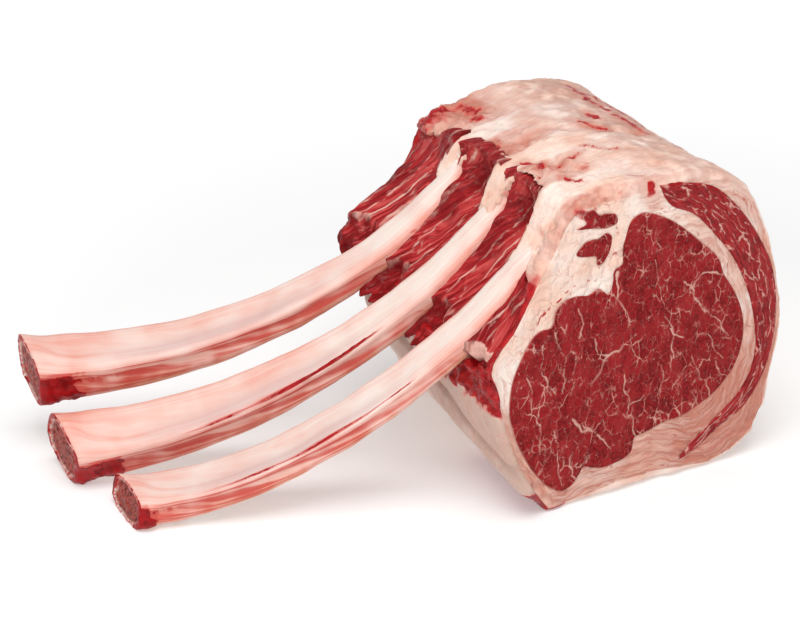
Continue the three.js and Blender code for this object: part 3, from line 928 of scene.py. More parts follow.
@dataclass(frozen=True)
class RibBed:
    """The bed in the upper left of the block in which the ribs lie."""

    top: tuple[float, float] = (-44.0, 160.0)
    knee: tuple[float, float] = (-52.0, 112.0)
    slant_from: float = -60.0
    spacing: float = 50.0
    middle_y: float = -11.0
    width: tuple[float, float] = (20.0, 34.0)
    thickness: float = 12.0
    covered: float = 0.05
    depth: float = 12.5
    drawn_in: float = 0.74
    search: tuple[float, float, int] = (-0.12, 0.62, 180)

    def half_width(self, u: Array) -> Array:
        """Half a rib's width a part u of the way along it, drawn in where it leaves the fat."""
        return mix(self.width[0], self.width[1], u) / 2 * mix(self.drawn_in, 1.0, ease(u, 0.05, 0.3))

    def path(self, u: Array, y: Array) -> tuple[Array, Array]:
        """The bed's line at depth y of the block, blended from the paths of the ribs on either side.

        Args:
            u: Parts of the way along the ribs.
            y: Places across the block, of the same shape.

        Returns:
            Points and unit directions in X and Z, of shape (..., 2).
        """
        points, slopes = zip(*(rib.path(u) for rib in RIBS))
        place = np.clip((y - RIBS[0].middle(points[0][..., 0])) / self.spacing, 0, len(RIBS) - 1)
        first = np.minimum(np.floor(place), len(RIBS) - 2)[..., None]
        share = place[..., None] - first
        point, slope = (
            mix(np.where(first == 0, part[0], part[1]), np.where(first == 0, part[1], part[2]), share)
            for part in (points, slopes))
        return point, slope / np.linalg.norm(slope, axis=-1, keepdims=True)

    def point(self, u: Array, y: Array, depth: Array) -> Array:
        """Points of the bed, square below the line of the ribs' tops.

        Args:
            u: Parts of the way along the ribs.
            y: Places across the block.
            depth: Depths below the ribs' tops.

        Returns:
            Points in space, of the same shape and 3.
        """
        place, along = self.path(u, y)
        return joined(place[..., 0] - along[..., 1] * depth, y, place[..., 1] + along[..., 0] * depth)

    def locate(self, rows: Array) -> tuple[Array, Array, Array]:
        """Finds where points lie in the bed: the nearest place on the bed's line of their own section.

        Args:
            rows: Points of shape (rows, columns, 3), with one Y for each row.

        Returns:
            Part u along the ribs, depth below the ribs' tops, and the inward directions in X and Z.
        """
        tries = np.linspace(*self.search)
        along_rib = np.empty(rows.shape[:2])
        depth = np.empty(rows.shape[:2])
        inward = np.empty(rows.shape[:2] + (2,))
        for index, row in enumerate(rows):
            line, slope = self.path(tries, np.full(len(tries), row[0, 1]))
            offset = row[:, None, [0, 2]] - line[None]
            nearest = np.argmin(np.sum(offset**2, axis=-1), axis=1)
            normal = joined(-slope[:, 1], slope[:, 0])[nearest]
            along_rib[index] = tries[nearest]
            depth[index] = np.sum(offset[np.arange(len(row)), nearest] * normal, axis=-1)
            inward[index] = normal
        return along_rib, depth, inward


RIB_BED = RibBed()
RIBS = (
    RibShape("front_rib_bone", "rib_front", y=-61, slant=0.44, bend=(-165, 8), tip=(-239, 18.5), depth=18,
             twist=(8, 0), saw_skew=0.38, saw_undercut=-0.05, blood=7, smear=40, flush=0.25, edge_line=1.15),
    RibShape("middle_rib_bone", "rib_middle", y=-11, slant=0.40, bend=(-151, 29), tip=(-252, 28), depth=26,
             twist=(3, 31), saw_skew=0.38, saw_undercut=-0.18, blood=26, smear=45, flush=0.42, edge_line=1.3),
    RibShape("back_rib_bone", "rib_back", y=39, slant=0.37, bend=(-147, 45), tip=(-252, 59), depth=28,
             twist=(5, 17), saw_skew=0.33, saw_undercut=0.1, blood=22, smear=85, flush=0.45, edge_line=0.4),
)


@dataclass
class Outline:
    """A closed outline in the front face, seen from a middle point."""

    line: Array
    middle: tuple[float, float]

    @classmethod
    def through_points(cls, points: Line, middle: tuple[float, float], count: int) -> Outline:
        """Smooth outline through points, with count corners."""
        return cls(spaced(smooth_line(points, True), count + 1)[:-1], middle)

    def reach(self, angle: Array) -> Array:
        """Distance from the middle to the outline, between the outline's corners in proportion to the angle.

        Args:
            angle: Directions from the middle.

        Returns:
            Distances of the same shape.
        """
        offset = self.line - np.array(self.middle)
        angles = np.arctan2(offset[:, 1], offset[:, 0])
        order = np.argsort(angles)
        return np.interp(angle, angles[order], np.hypot(*offset.T)[order], period=2 * math.pi)

    def depth(self, xz: Array) -> Array:
        """Distance inside the outline, below 0 outside it."""
        return inside_depth(xz, self.line)

    def disc(self, count: int) -> tuple[Array, Array]:
        """Even grid over the outline: a square grid whose shells become rings, stretched to the outline.

        Args:
            count: Points along a side of the grid.

        Returns:
            Places of shape (count, count, 2), and their distances from the outline towards the middle.
        """
        a, b = np.meshgrid(np.linspace(-1, 1, count), np.linspace(-1, 1, count), indexing="ij")
        flat = np.abs(a) > np.abs(b)
        safe_a, safe_b = np.where(a == 0, TINY, a), np.where(b == 0, TINY, b)
        radius = np.where(flat, a, b)
        angle = np.where(flat, math.pi / 4 * b / safe_a, math.pi / 2 - math.pi / 4 * a / safe_b)
        angle = np.arctan2(radius * np.sin(angle), radius * np.cos(angle))
        radius, reach = np.abs(radius), self.reach(angle)
        xz = np.array(self.middle) + joined(np.cos(angle), np.sin(angle)) * (radius * reach)[..., None]
        return xz, (1 - radius) * reach


EYE = Outline.through_points((
    (-79, 60), (-78, 76), (-73, 88), (-67, 98), (-62, 101), (-56, 101.5), (-54, 109), (-50, 113.5),
    (-42, 115), (-35, 114), (-28, 116), (-23, 112), (-20.5, 118), (-20, 124), (-15, 127), (-15.5, 134),
    (-14, 141), (-11, 148), (-5, 151), (3, 149), (13, 144), (22, 137.5), (31, 130), (39, 123), (45, 116),
    (48, 108.5), (55, 98), (61, 86), (63.5, 74), (62, 62), (58, 53), (51, 45), (44, 40), (35, 36), (25, 33),
    (14, 32), (5, 29.5), (-3, 28), (-5, 20), (-12, 17), (-23, 16), (-35, 19), (-38.5, 13), (-46, 9),
    (-54, 13), (-63, 23), (-71, 36), (-76, 48)), (-8.0, 76.0), 420)
UPPER_STRIP = Outline.through_points((
    (-43, 149), (-38, 151), (-40, 155), (-34, 158), (-30, 155), (-20, 153), (-18.5, 148), (-26, 146),
    (-34, 147.5)), (-30.0, 151.0), 120)
LOWER_STRIP = Outline.through_points((
    (-43, 136), (-38, 141.5), (-29, 143), (-25, 144.5), (-21.5, 142), (-22, 135), (-26, 128.5),
    (-29.5, 127.5), (-31, 132), (-37, 133.5)), (-30.0, 137.0), 120)
CAP_OUTER = (
    (5, 162.5), (18, 162), (38, 156.5), (53, 144), (69, 124), (80, 103), (84, 79), (82, 57), (76, 41),
    (67, 29.5), (53, 22), (36, 11.5), (24, 7))
CAP_INNER = (
    (8, 156), (13, 150), (27, 143), (42, 128), (52, 116), (62, 98), (68, 81), (71, 61), (68.5, 49),
    (61, 37.5), (46, 26), (32, 16), (24.5, 8))


@dataclass
class CutFace:
    """Grid over one cut face of a muscle: places, distances from the edge and heights of the relief."""

    xz: Array
    edge_gap: Array
    relief: Array


@dataclass
class CutMuscle:
    """A muscle that runs through the block and shows on both cut faces, a little proud of the fat."""

    proud: float = 0.4
    edge: float = 1.8
    tuck: float = 1.6
    rows_through: int = 7

    def height(self, face: CutFace) -> Array:
        """Height of a face above the cut: even, with relief, and a quarter circle down at the edge.

        Args:
            face: Grid of the face.

        Returns:
            Heights at the grid's points.
        """
        near = np.clip(face.edge_gap / self.edge, 0, 1)
        fall = (self.proud + self.tuck) * (1 - np.sqrt(1 - (1 - near)**2))
        return self.proud - fall + face.relief * near

    def body(self, front: CutFace, back: CutFace) -> tuple[Array, list[Array]]:
        """The closed body of a muscle between its two faces.

        Args:
            front: Grid of the front face. Its edge has as many points as the back one, or twice as many.
            back: Grid of the back face, in places of the front one.

        Returns:
            The points, front grid then back grid then sides, and the groups of faces.
        """
        near = BLOCK.through(front.xz[..., 0], front.xz[..., 1], BLOCK.front)
        far = BLOCK.through(back.xz[..., 0], back.xz[..., 1], BLOCK.back)
        near[..., 1] -= self.height(front)
        far[..., 1] += self.height(back)
        start = near.shape[0] * near.shape[1]
        front_edge, back_edge = border(*near.shape[:2]), border(*far.shape[:2])
        ring = back.xz.reshape(-1, 2)[back_edge]
        depths = np.linspace(BLOCK.front + 2 * self.tuck, BLOCK.back - 2 * self.tuck, self.rows_through)
        sides = BLOCK.through(ring[None, :, 0], ring[None, :, 1], depths[:, None])
        side_start = start + far.shape[0] * far.shape[1]
        rings = [side_start + k * len(ring) + np.arange(len(ring)) for k in range(len(depths))]
        rings.append(back_edge + start)
        faces = [quads(*near.shape[:2], False), quads(*far.shape[:2], False, start)[:, ::-1]]
        if len(front_edge) == len(back_edge):
            faces.append(ribbon(front_edge, rings[0]))
        else:
            even, odd = front_edge[::2], front_edge[1::2]
            faces.append(joined(np.roll(even, -1), odd, even, rings[0], np.roll(rings[0], -1)))
        faces += [ribbon(one, two) for one, two in zip(rings[:-1], rings[1:])]
        return np.concatenate([part.reshape(-1, 3) for part in (near, far, sides)]), faces

    def pale_edge(self, face: CutFace) -> Array:
        """How strongly the muscle's edge is painted pale: partly fat from beside it, partly painted light
        over the shade in the gap at the edge.
        """
        return 0.9 * (1 - ease(face.edge_gap + 1.2 * face.relief, 0.3, 1.1))

    def layer(self, front: Array, back: Array, points: Array) -> Array:
        """Values at all points from those of the front and back grid, with 0 on the sides."""
        return np.concatenate([front.ravel(), back.ravel(), np.zeros(len(points) - front.size - back.size)])


@dataclass
class EyeMuscle(CutMuscle):
    """The large round muscle, with the fat veins that run into it."""

    back_count: int = 135
    veins: tuple[tuple[float, float, Line], ...] = (
        (1.3, 0.75, ((-19, 122), (-18, 113), (-16, 106), (-12, 99), (-8, 94))),
        (0.55, 0.0, ((4, 124), (7, 112), (10, 101), (13, 92), (17, 82))),
        (1.0, 0.4, ((15, 84), (19, 80), (24, 78))),
        (0.6, 0.3, ((19, 80), (17, 73), (19, 68))),
        (1.0, 0.3, ((49, 107), (42, 109), (37, 111), (33, 110))),
        (1.1, 0.6, ((33, 110), (27, 105), (31, 97), (39, 89), (47, 81), (53, 73))),
        (0.5, 0.3, ((27, 105), (23, 101), (17, 100))),
        (0.6, 0.3, ((-60, 92), (-60, 82), (-57, 71), (-54, 62))),
        (0.6, 0.3, ((-54, 99), (-50, 90), (-47, 81), (-47, 72), (-48, 64))),
        (1.0, 0.5, ((-23, 78), (-28, 83), (-30, 90))),
        (1.0, 0.5, ((-23, 78), (-15, 80), (-6, 86))),
        (1.0, 0.6, ((-23, 78), (-26, 71), (-31, 64))),
        (0.6, 0.0, ((-12, 66), (-10, 57), (-8, 48), (-5, 38), (-3, 27))),
        (1.1, 0.6, ((-3, 25), (-5, 36))),
        (0.5, 0.2, ((-8, 48), (0, 49), (2, 52))),
        (1.0, 0.4, ((-41, 49), (-36, 42), (-30, 39), (-23, 33), (-17, 25))),
        (1.1, 0.7, ((-30, 39), (-35, 44))),
        (0.5, 0.3, ((-51, 45), (-50, 33), (-47, 13))),
        (0.9, 0.5, ((-38, 13), (-42, 21), (-41, 30))),
        (0.6, 0.3, ((-60, 22), (-57, 31), (-58, 39))),
        (0.7, 0.7, ((36, 36), (34, 42), (31, 47))),
        (0.7, 0.7, ((25, 33), (23, 39), (19, 44))),
        (0.7, 0.7, ((45, 40), (41, 46), (38, 52))),
        (0.5, 0.6, ((14, 32), (13, 38), (9, 41))),
        (0.6, 0.5, ((54, 48), (48, 54), (45, 60))),
        (0.5, 0.4, ((30, 66), (34, 59), (37, 52))),
        (0.45, 0.3, ((-70, 78), (-66, 70), (-66, 62))),
        (0.45, 0.3, ((-40, 108), (-38, 98), (-40, 91))),
        (0.45, 0.3, ((-62, 55), (-60, 44), (-61, 34))),
        (0.45, 0.3, ((12, 66), (13, 58), (11, 50))),
        (0.5, 0.4, ((40, 76), (44, 68), (50, 60))),
        (0.5, 0.4, ((26, 60), (21, 53), (23, 46))),
        (0.45, 0.3, ((38, 122), (33, 118), (30, 120))),
    )

    def face(self, count: int, seed: float) -> tuple[CutFace, Array]:
        """A cut face with its veins.

        Args:
            count: Points along a side of the grid.
            seed: Shift of the noise, so that the two faces differ.

        Returns:
            The face and how strongly veins cover each point.
        """
        xz, edge_gap = EYE.disc(count)
        place = lifted(xz, seed)
        bent = xz + joined(GRAIN.layers(place, 8.0), GRAIN.layers(place + 40, 8.0)) * 2.4
        swell = np.clip(1 + 1.3 * GRAIN.layers(place + 80, 6.0), 0.25, 2.0)
        vein = np.zeros(edge_gap.shape)
        for width, taper, line in self.veins:
            vein = np.maximum(vein, stroke(bent, line, 0.75 * width * swell, taper))
        relief = 0.35 * GRAIN.layers(place, 11.0) + 0.12 * GRAIN.at(place, 2.2) - 0.15 * vein
        face = CutFace(xz, edge_gap, relief)
        faded = vein * np.clip(0.7 + 1.1 * GRAIN.layers(place + 25, 9.0), 0, 0.9)
        return face, np.maximum(faded, self.pale_edge(face))

    def build(self) -> Surface:
        """Round grids over both faces, the front one twice as fine, with veins drawn as strokes.

        Returns:
            The closed muscle.
        """
        front, front_vein = self.face(2 * self.back_count - 1, 0.0)
        back, back_vein = self.face(self.back_count, 90.0)
        points, faces = self.body(front, back)
        return Surface(points, faces, {"vein": self.layer(front_vein, back_vein, points)})


@dataclass
class StripMuscle(CutMuscle):
    """A small muscle above the eye that draws together behind the front face."""

    count: int = 64
    drift: float = 6.0
    shrink: float = 0.6
    drift_length: float = 12.0

    def build(self, outline: Outline) -> Surface:
        """Grid over the small face. Behind the face the strip shrinks and moves away from the rib bed.

        Args:
            outline: Outline of the strip on the front face.

        Returns:
            The closed muscle.
        """
        xz, edge_gap = outline.disc(self.count)
        face = CutFace(xz, edge_gap, 0.6 * GRAIN.layers(lifted(xz, 0.0), 6.0))
        points, faces = self.body(face, face)
        share = ease(points[:, 1], BLOCK.front, BLOCK.front + self.drift_length)
        centre = BLOCK.through(*np.array(outline.middle), points[:, 1])
        drawn = mix(1.0, self.shrink, share)[:, None]
        points = centre + (points - centre) * np.concatenate([drawn, np.ones_like(drawn), drawn], axis=1)
        points[:, 0] += self.drift * share
        edge = self.pale_edge(face)
        return Surface(points, faces, {"vein": self.layer(edge, edge, points)})


@dataclass
class CapMuscle(CutMuscle):
    """The crescent muscle round the eye, streaked with fat along its length."""

    along: int = 560
    across: int = 44
    back_shift: tuple[int, int] = (400, 0)
    seams: Line = (
        (0.42, 0.5, 0.9, 0.0, 0.30), (0.60, 0.72, 0.6, 0.16, 0.55), (0.25, 0.4, 0.6, 0.3, 0.66),
        (0.8, 0.62, 0.5, 0.36, 0.72), (0.45, 0.6, 0.9, 0.62, 0.95), (0.25, 0.35, 0.7, 0.7, 0.93))

    def build(self) -> Surface:
        """Grid between the inner and the outer edge, with streaks of fat that wander along it.

        Returns:
            The closed muscle.
        """
        inner, outer = (spaced(smooth_line(edge, False), self.along) for edge in (CAP_INNER, CAP_OUTER))
        share = np.linspace(0, 1, self.across)[None, :]
        xz = mix(inner[:, None], outer[:, None], share[..., None])
        width = np.linalg.norm(outer - inner, axis=1)[:, None]
        length = run_along((outer + inner) / 2)[:, None]
        part = length / length[-1]
        gap = np.minimum(np.minimum(share, 1 - share) * width, np.minimum(length, length[-1] - length))
        flat = joined(length, share * width)
        place = lifted(flat, 0.0)
        waver = 2.2 * GRAIN.layers(place, 13.0)
        vein = np.zeros(gap.shape)
        for start, end, half, first, last in self.seams:
            line = np.abs((share - mix(start, end, ease(part, first, last))) * width + waver)
            shown = ease(part, first - 0.01, first + 0.01) * ease(part, last + 0.02, last - 0.02)
            vein = np.maximum(vein, (1 - ease(line, SOLID_CORE * half, half)) * shown)
        face = CutFace(xz, gap, 0.45 * GRAIN.layers(place, 6.0) - 0.2 * vein)
        points, faces = self.body(face, face)
        vein = np.maximum(vein, self.pale_edge(face))
        layers = {"film": self.layer(vein, vein, points), "wet": np.zeros(len(points))}
        plane = flat.reshape(-1, 2)
        ring = plane[border(self.along, self.across)]
        return Surface(points, faces, layers).lay_grain(
            np.concatenate([plane, plane + self.back_shift] + [ring] * self.rows_through))


@dataclass
class FatCover:
    """The fat of the block: the face fat round the muscles on both cuts, and the skin between the cuts."""

    columns: int = 440
    face_rows: int = 46
    back_rows: int = 24
    length_rows: int = 112
    rim_rows: tuple[float, ...] = (0, 0.03, 0.12, 0.26, 0.45, 0.7, 1.0)
    pocket: float = 4.0
    uncut: float = -20.0
    highest: float = -16.0
    seam: Line = ((-84, 28), (-50, 40), (0, 50), (70, 60))
    dip: Line = ((-25, -2, 162), (-18, 2, 164), (1, 3, 167), (16, -9, 167), (37, -16, 163))
    dip_width: float = 9.0
    scraps: tuple[tuple[float, Line], ...] = (
        (3.4, ((52, 65, 163), (45, 35, 165), (46, 15, 164), (45, -3, 162), (47, -14, 161))),
        (2.6, ((52, 54, 163), (55, 18, 161), (59, -2, 157), (62, -24, 152))),
        (2.8, ((17, 5, 167), (20, -3, 167), (25, -8, 166))),
        (2.4, ((29, 15, 166), (30, 5, 166))),
        (4.5, ((-22, 77, 158), (-10, 74, 161), (-11, 60, 161))),
        (3.4, ((-29, 16, 157), (-29, 6, 158))),
        (3.4, ((-33, -22, 162), (-31, -30, 162), (-31, -45, 164))),
        (2.2, ((-33, -55, 162), (-28, -64, 165))),
        (3.6, ((-42, -82, 157), (-34, -84, 156))),
        (3.8, ((0, -84, 165), (1, -84, 159))),
        (1.3, ((-23, -37, 164), (-13, -38, 166), (-7, -35, 166))),
        (1.2, ((-3, -29, 167), (8, -38, 167), (11, -40, 167))),
        (1.2, ((-3, -73, 166), (1, -79, 166))),
        (1.2, ((-33, -54, 163), (-28, -77, 164), (-27, -83, 162))),
        (0.9, ((-65, -84, 103), (-56, -84, 113), (-48, -84, 118), (-39, -84, 121), (-33, -84, 123),
               (-24, -84, 129), (-18, -84, 131))),
        (2.0, ((-68, -84, 92), (-62, -84, 98))),
    )

    def outline(self) -> Array:
        """Outline of the front face, closed along the base, with fewer points on the base.

        Returns:
            Corners of shape (columns, 2).
        """
        line = smooth_line(BLOCK.outline, False)
        line = np.concatenate([line, spaced(np.array([line[-1], line[0]]), 24)[1:]])
        middle = (line[1:] + line[:-1]) / 2
        weight = np.where(middle[:, 1] < 0.5, 0.35, np.where(middle[:, 0] > 50, 0.8, 1.15))
        return spaced(line, self.columns + 1, weight)[:-1]

    def face(self, rim: Array, y: float, rows: int) -> Array:
        """Fat on a cut face: straight lines from just inside the eye's edge out to the rim.

        Args:
            rim: Rim of the cut face, of shape (columns, 3).
            y: Depth of the cut face.
            rows: Number of rows.

        Returns:
            Grid of shape (rows, columns, 3), the innermost row first.
        """
        front = self.outline()
        angle = np.arctan2(front[:, 1] - EYE.middle[1], front[:, 0] - EYE.middle[0])
        inner = EYE.reach(angle)
        for _ in range(12):
            inner = (np.roll(inner, 1) + 2 * inner + np.roll(inner, -1)) / 4
        inner = inner - self.pocket
        x, z = EYE.middle[0] + inner * np.cos(angle), EYE.middle[1] + inner * np.sin(angle)
        start = BLOCK.through(x, z, y)
        return mix(start[None], rim[None], np.linspace(0, 1, rows)[:, None, None])

    def skin(self) -> Array:
        """The outer skin from the front rim to the back rim, closer rows where the rims round off.

        Returns:
            Grid of points, a row for each section.
        """
        front = self.outline()
        near = BLOCK.rim * np.array(self.rim_rows)
        between = np.linspace(BLOCK.front + BLOCK.rim, BLOCK.back - BLOCK.rim, self.length_rows)[1:-1]
        depths = np.concatenate([BLOCK.front + near, between, (BLOCK.back - near)[::-1]])
        return BLOCK.place(front[None, :, 0], front[None, :, 1], depths[:, None])

    def cut_bed(self, skin: Array) -> tuple[Array, Array, Array]:
        """Lowers the skin to the rib bed, with tongues of fat left over the ribs' tops.

        A point above the bed moves square to the ribs, down to the bed's depth. The cut starts at the ridge
        between two ribs, further down on a rib, and lower still before the front rib.

        Args:
            skin: Grid of the skin.

        Returns:
            The cut skin, how far each point is laid bare and how near it lies to the bed, both 0 to 1.
        """
        u, depth, inward = RIB_BED.locate(skin)
        y = skin[..., 1]
        half = RIB_BED.half_width(np.clip(u, 0, 1))
        middles = [rib.middle(rib.path(u)[0][..., 0]) for rib in RIBS]
        off_middle = np.min([np.abs(y - middle) for middle in middles], axis=0)
        on_rib = 1 - ease(off_middle - half - mix(2.5, 0.5, ease(u, 0.0, 0.12)), -2.0, 2.0)
        before, behind = middles[0] - half - y, y - middles[-1] - half
        between = np.where(behind > 0, mix(-0.02, 0.03, ease(behind, 2, 18)), -0.02)
        between = np.where(before > 0, mix(0.19, 0.26, ease(before, 0, 20)), between)
        over_rib = mix(0.12, 0.16, ease(before, -22, -18))
        start = mix(between, over_rib, on_rib) + 0.03 * GRAIN.layers(skin, 14.0)
        level = 2.0 * ease(off_middle / half, 0.2, 1.0)**2 - 1.0 - 2.0 * ease(u, 0.12, 0.0)
        tongue = mix(level, RIB_BED.depth, ease(u, start - 0.04, start + 0.14))
        tongue = mix(self.uncut, tongue, ease(u, start - 0.1, start - 0.03))
        target = mix(self.uncut, RIB_BED.depth, ease(u, start - 0.02, start + 0.02))
        inner = ease(u, 0.47, 0.41) * ease(y, BLOCK.front + 1.5, BLOCK.front + 5)
        target = mix(self.uncut, mix(target, tongue, on_rib), inner)
        push = np.where(depth > self.highest, np.maximum(target - depth, 0), 0)
        cut = skin.copy()
        cut[..., 0] += inward[..., 0] * push
        cut[..., 2] += inward[..., 1] * push
        bare = ease(push, 2 + 8 * on_rib, 6 + 8 * on_rib)
        close = (depth > self.highest) * ease(depth, 45, 25) * ease(u, -0.16, -0.05) * ease(u, 0.5, 0.4)
        return cut, bare, close * (1 - 1.3 * on_rib)

    def normals(self, grid: Array, first: int, last: int) -> Array:
        """Outward normals: of the surface on the skin, straight along Y on the two cut faces.

        Args:
            grid: Points of both faces and the skin.
            first: First row of the skin.
            last: First row behind the skin.

        Returns:
            Unit normals of the same shape.
        """
        normal = grid_normals(grid, True)
        outward = np.sum(normal * (grid - np.array([BLOCK.centre[0], 0, BLOCK.centre[1]])), axis=-1)
        normal = normal * np.sign(np.median(outward[first:last]))
        normal[:first - 1] = (0, -1, 0)
        normal[last + 1:] = (0, 1, 0)
        return normal

    def pocket_depth(self, xz: Array) -> Array:
        """How far the face fat lies back under the muscles: a soft step at each muscle's edge.

        Args:
            xz: Places on the front face, of shape (..., 2).

        Returns:
            Depths of shape (...).
        """
        outer, inner = (spaced(smooth_line(edge, False), 120) for edge in (CAP_OUTER, CAP_INNER))
        depth = inside_depth(xz, np.concatenate([outer, inner[::-1]]))
        for muscle in (EYE, UPPER_STRIP, LOWER_STRIP):
            depth = np.maximum(depth, muscle.depth(xz))
        return self.pocket * ease(depth, 0.2, 2.6)

    def build(self) -> Surface:
        """Joins front face, skin and back face into one closed grid and gives it relief and colour layers.

        Returns:
            The closed fat.
        """
        skin, bared, near_bed = self.cut_bed(self.skin())
        front = self.face(skin[0], BLOCK.front, self.face_rows)
        back = self.face(skin[-1], BLOCK.back, self.back_rows)[::-1]
        grid = np.concatenate([front[:-1], skin, back[1:]])
        first, last = len(front) - 1, len(front) - 1 + len(skin)
        bare, lip, on_face, sink = (np.zeros(grid.shape[:2]) for _ in range(4))
        bare[first:last] = bared
        lip[first:last] = near_bed
        on_face[:first] = 1
        on_face[last:] = 1
        sink[:first] = self.pocket_depth(grid[:first][..., [0, 2]])
        sink[last:] = self.pocket_depth(BLOCK.to_front(grid[last:][..., [0, 2]], BLOCK.back))

        # Relief, torn into lumps beside the bed and on the lean of the flank
        layers = self.paint(grid, bare, on_face, lip)
        height = self.relief(grid, on_face) * (1 - 0.5 * bare) * (1 - np.clip(sink / self.pocket, 0, 1))
        mass = np.minimum(layers["lean"], 1) * ease(grid[..., 2], 98, 84) * ease(grid[..., 2], 30, 45)
        torn = np.maximum(np.maximum(lip, 0)**2 * ease(grid[..., 2], 120, 140), mass)
        coarse, fine = mix(3.4, 4.6, mass), mix(1.2, 2.4, mass)
        lumps = coarse * GRAIN.layers(grid + 12, 8.0) + fine * GRAIN.at(grid, 4.0)
        height += torn * (1 - on_face) * lumps
        points = grid + self.normals(grid, first, last) * (height - sink)[..., None]
        points[..., 2] = np.maximum(points[..., 2], 0.0)

        # Grain that runs round the block, without a jump where its columns close
        rim = self.outline()
        along = run_along(np.append(rim, rim[:1], axis=0))
        across = grid[..., 1] - BLOCK.front
        across[:first] = -np.linalg.norm(grid[:first] - skin[0], axis=-1)
        across[last:] = BLOCK.back - BLOCK.front + np.linalg.norm(grid[last:] - skin[-1], axis=-1)
        flat = joined(along[None, :-1], across)
        surface = self.closed(points, layers)
        surface.lay_grain(np.concatenate([flat.reshape(-1, 2), [[0, -60], [0, 240]]]))
        surface.grain[0][self.columns - 1::self.columns, :2, 0] = np.array([along[-2], along[-1]])
        surface.grain[0][self.columns - 1::self.columns, 2:, 0] = np.array([along[-1], along[-2]])
        return surface

    def off_seam(self, grid: Array) -> Array:
        """Height above the wavering seam on the flank, where an upper sheet of fat laps over a lower roll."""
        line = np.interp(grid[..., 1], *zip(*self.seam))
        return grid[..., 2] - line - 6 * GRAIN.at(grid + 70, 26.0) - 2 * GRAIN.at(grid, 9.0)

    def relief(self, grid: Array, on_face: Array) -> Array:
        """Height above the even form: broad swells, lumps, folds at the foot and a fold on the flank.

        Args:
            grid: Points of the even form.
            on_face: 1 on the two cut faces and 0 on the skin.

        Returns:
            Heights at the points.
        """
        x, z = grid[..., 0], grid[..., 2]
        skin = 1 - on_face
        flank = ease(x, -50, -66) * ease(z, 92, 70) * skin
        shoulder = on_face * ease(x, -5, -25) * ease(z, 75, 100)
        lumps = GRAIN.layers(grid, 9.0)
        height = 1.6 * GRAIN.layers(grid, 28.0, 2) * skin * (1 - 0.6 * flank)
        height += (0.5 + 0.1 * skin + 0.5 * shoulder) * lumps * (1 - 0.5 * flank)
        height += 0.15 * GRAIN.at(grid, 2.6)
        top = ease(z, 122, 145) * skin
        height += top * (GRAIN.layers(grid + 12, 9.0) + 0.3 * GRAIN.at(grid, 4.0))
        foot = ease(z, 34, 16)
        height += on_face * foot * 0.5 * np.sin(z * 0.9 + 0.25 * x + 6 * GRAIN.at(grid, 16.0))
        height += skin * foot * (1 - flank) * 1.6 * GRAIN.layers(grid + 50, 7.0)
        bulge = 3.0 * flank * ease(z, 2, 18) * ease(z, 80, 55)
        off = self.off_seam(grid)
        seam = flank * (2.4 * np.exp(-(off / 2.5)**2) - 1.8 * np.exp(-((off + 12) / 8)**2))
        dip = 2.0 * stroke(grid, self.dip, self.dip_width) * skin
        return (height + bulge - seam - dip) * ease(z, 0.4, 3)

    def paint(self, grid: Array, bare: Array, on_face: Array, lip: Array) -> Layers:
        """Shares of lean, crease, pads, film and blush at every point; the film and the blush are partly
        painted shade.

        Args:
            grid: Points of the fat before its relief.
            bare: How far each point is laid bare by the rib bed.
            on_face: 1 on the two cut faces and 0 on the skin.
            lip: How near each point lies to the bed, below 0 on the tongues over the ribs.

        Returns:
            The shares, from 0 to about 1.
        """
        x, y, z = grid[..., 0], grid[..., 1], grid[..., 2]
        skin = 1 - on_face
        front = on_face * (y < 0)
        noise = GRAIN.layers(grid, 8.0)

        # Lean: the bared bed, the left flank, the foot, drawn scraps and loose flecks
        mass = skin * ease(x, -60, -70) * ease(z + 9 * noise, 58, 66) * ease(y, 84, 60)
        foot = skin * ease(z + 7 * noise, 18, 13) * ease(x, -40, -50) * ease(y, 0, -35)
        lean = 1.35 * np.maximum.reduce([bare, mass, foot])
        halo = np.zeros(grid.shape[:2])
        bent = grid + 4 * joined(*(GRAIN.layers(grid + shift, 9.0) for shift in (20, 60, 100)))
        patchy = np.clip(0.85 + 0.5 * GRAIN.at(grid + 45, 7.0), 0, 1)
        for width, line in self.scraps:
            lean = np.maximum(lean, stroke(bent, line, width) * patchy)
            halo = np.maximum(halo, stroke(bent, line, 3 * width))
        lean = np.maximum(lean, 0.75 * np.maximum(lip, 0) * ease(GRAIN.layers(grid + 33, 11.0), 0.15, 0.5))
        lean = np.maximum(lean, 0.2 * skin * ease(GRAIN.layers(grid + 90, 16.0), 0.1, 0.5))
        corner = skin * ease(y, 56, 74) * ease(x, -14, -28) * ease(z, 118, 132)
        lean = np.maximum(lean, corner * (0.85 + 0.6 * noise))

        # Creases, pink blush and grey film; the blush and the film are partly painted shade
        flank = ease(x, -50, -64) * ease(z, 72, 60) * skin
        silver = ease(x, 5, 30) * ease(z, 140, 158) * skin * ease(noise, -0.5, 0.4)
        shoulder = front * ease(x, 0, -25) * ease(z, 75, 100)
        top = ease(z, 125, 145) * skin
        crease = (0.06 + 0.94 * on_face - 0.75 * shoulder + 0.5 * flank + 0.32 * top) * (1 - bare)
        dip = stroke(grid, self.dip, self.dip_width)
        # Pink blush: partly the fat's own pink, partly painted shade that deepens towards the bottom of the
        # front face
        blush = 0.1 + 0.4 * halo + 0.55 * front * ease(z, 90, 40) + 0.4 * on_face * ease(x, 10, 40)
        blush += 0.3 * dip + 0.25 * noise - 0.6 * shoulder + 0.3 * silver + 0.12 * top
        # Pinker beside the bed; less blush on the tongues over the ribs, painted light that lifts their shade
        blush += 0.25 * lip + np.minimum(lip, 0)
        blush += 0.25 * skin * ease(y, -10, 30) * ease(x, 20, 0) * ease(z, 140, 155)
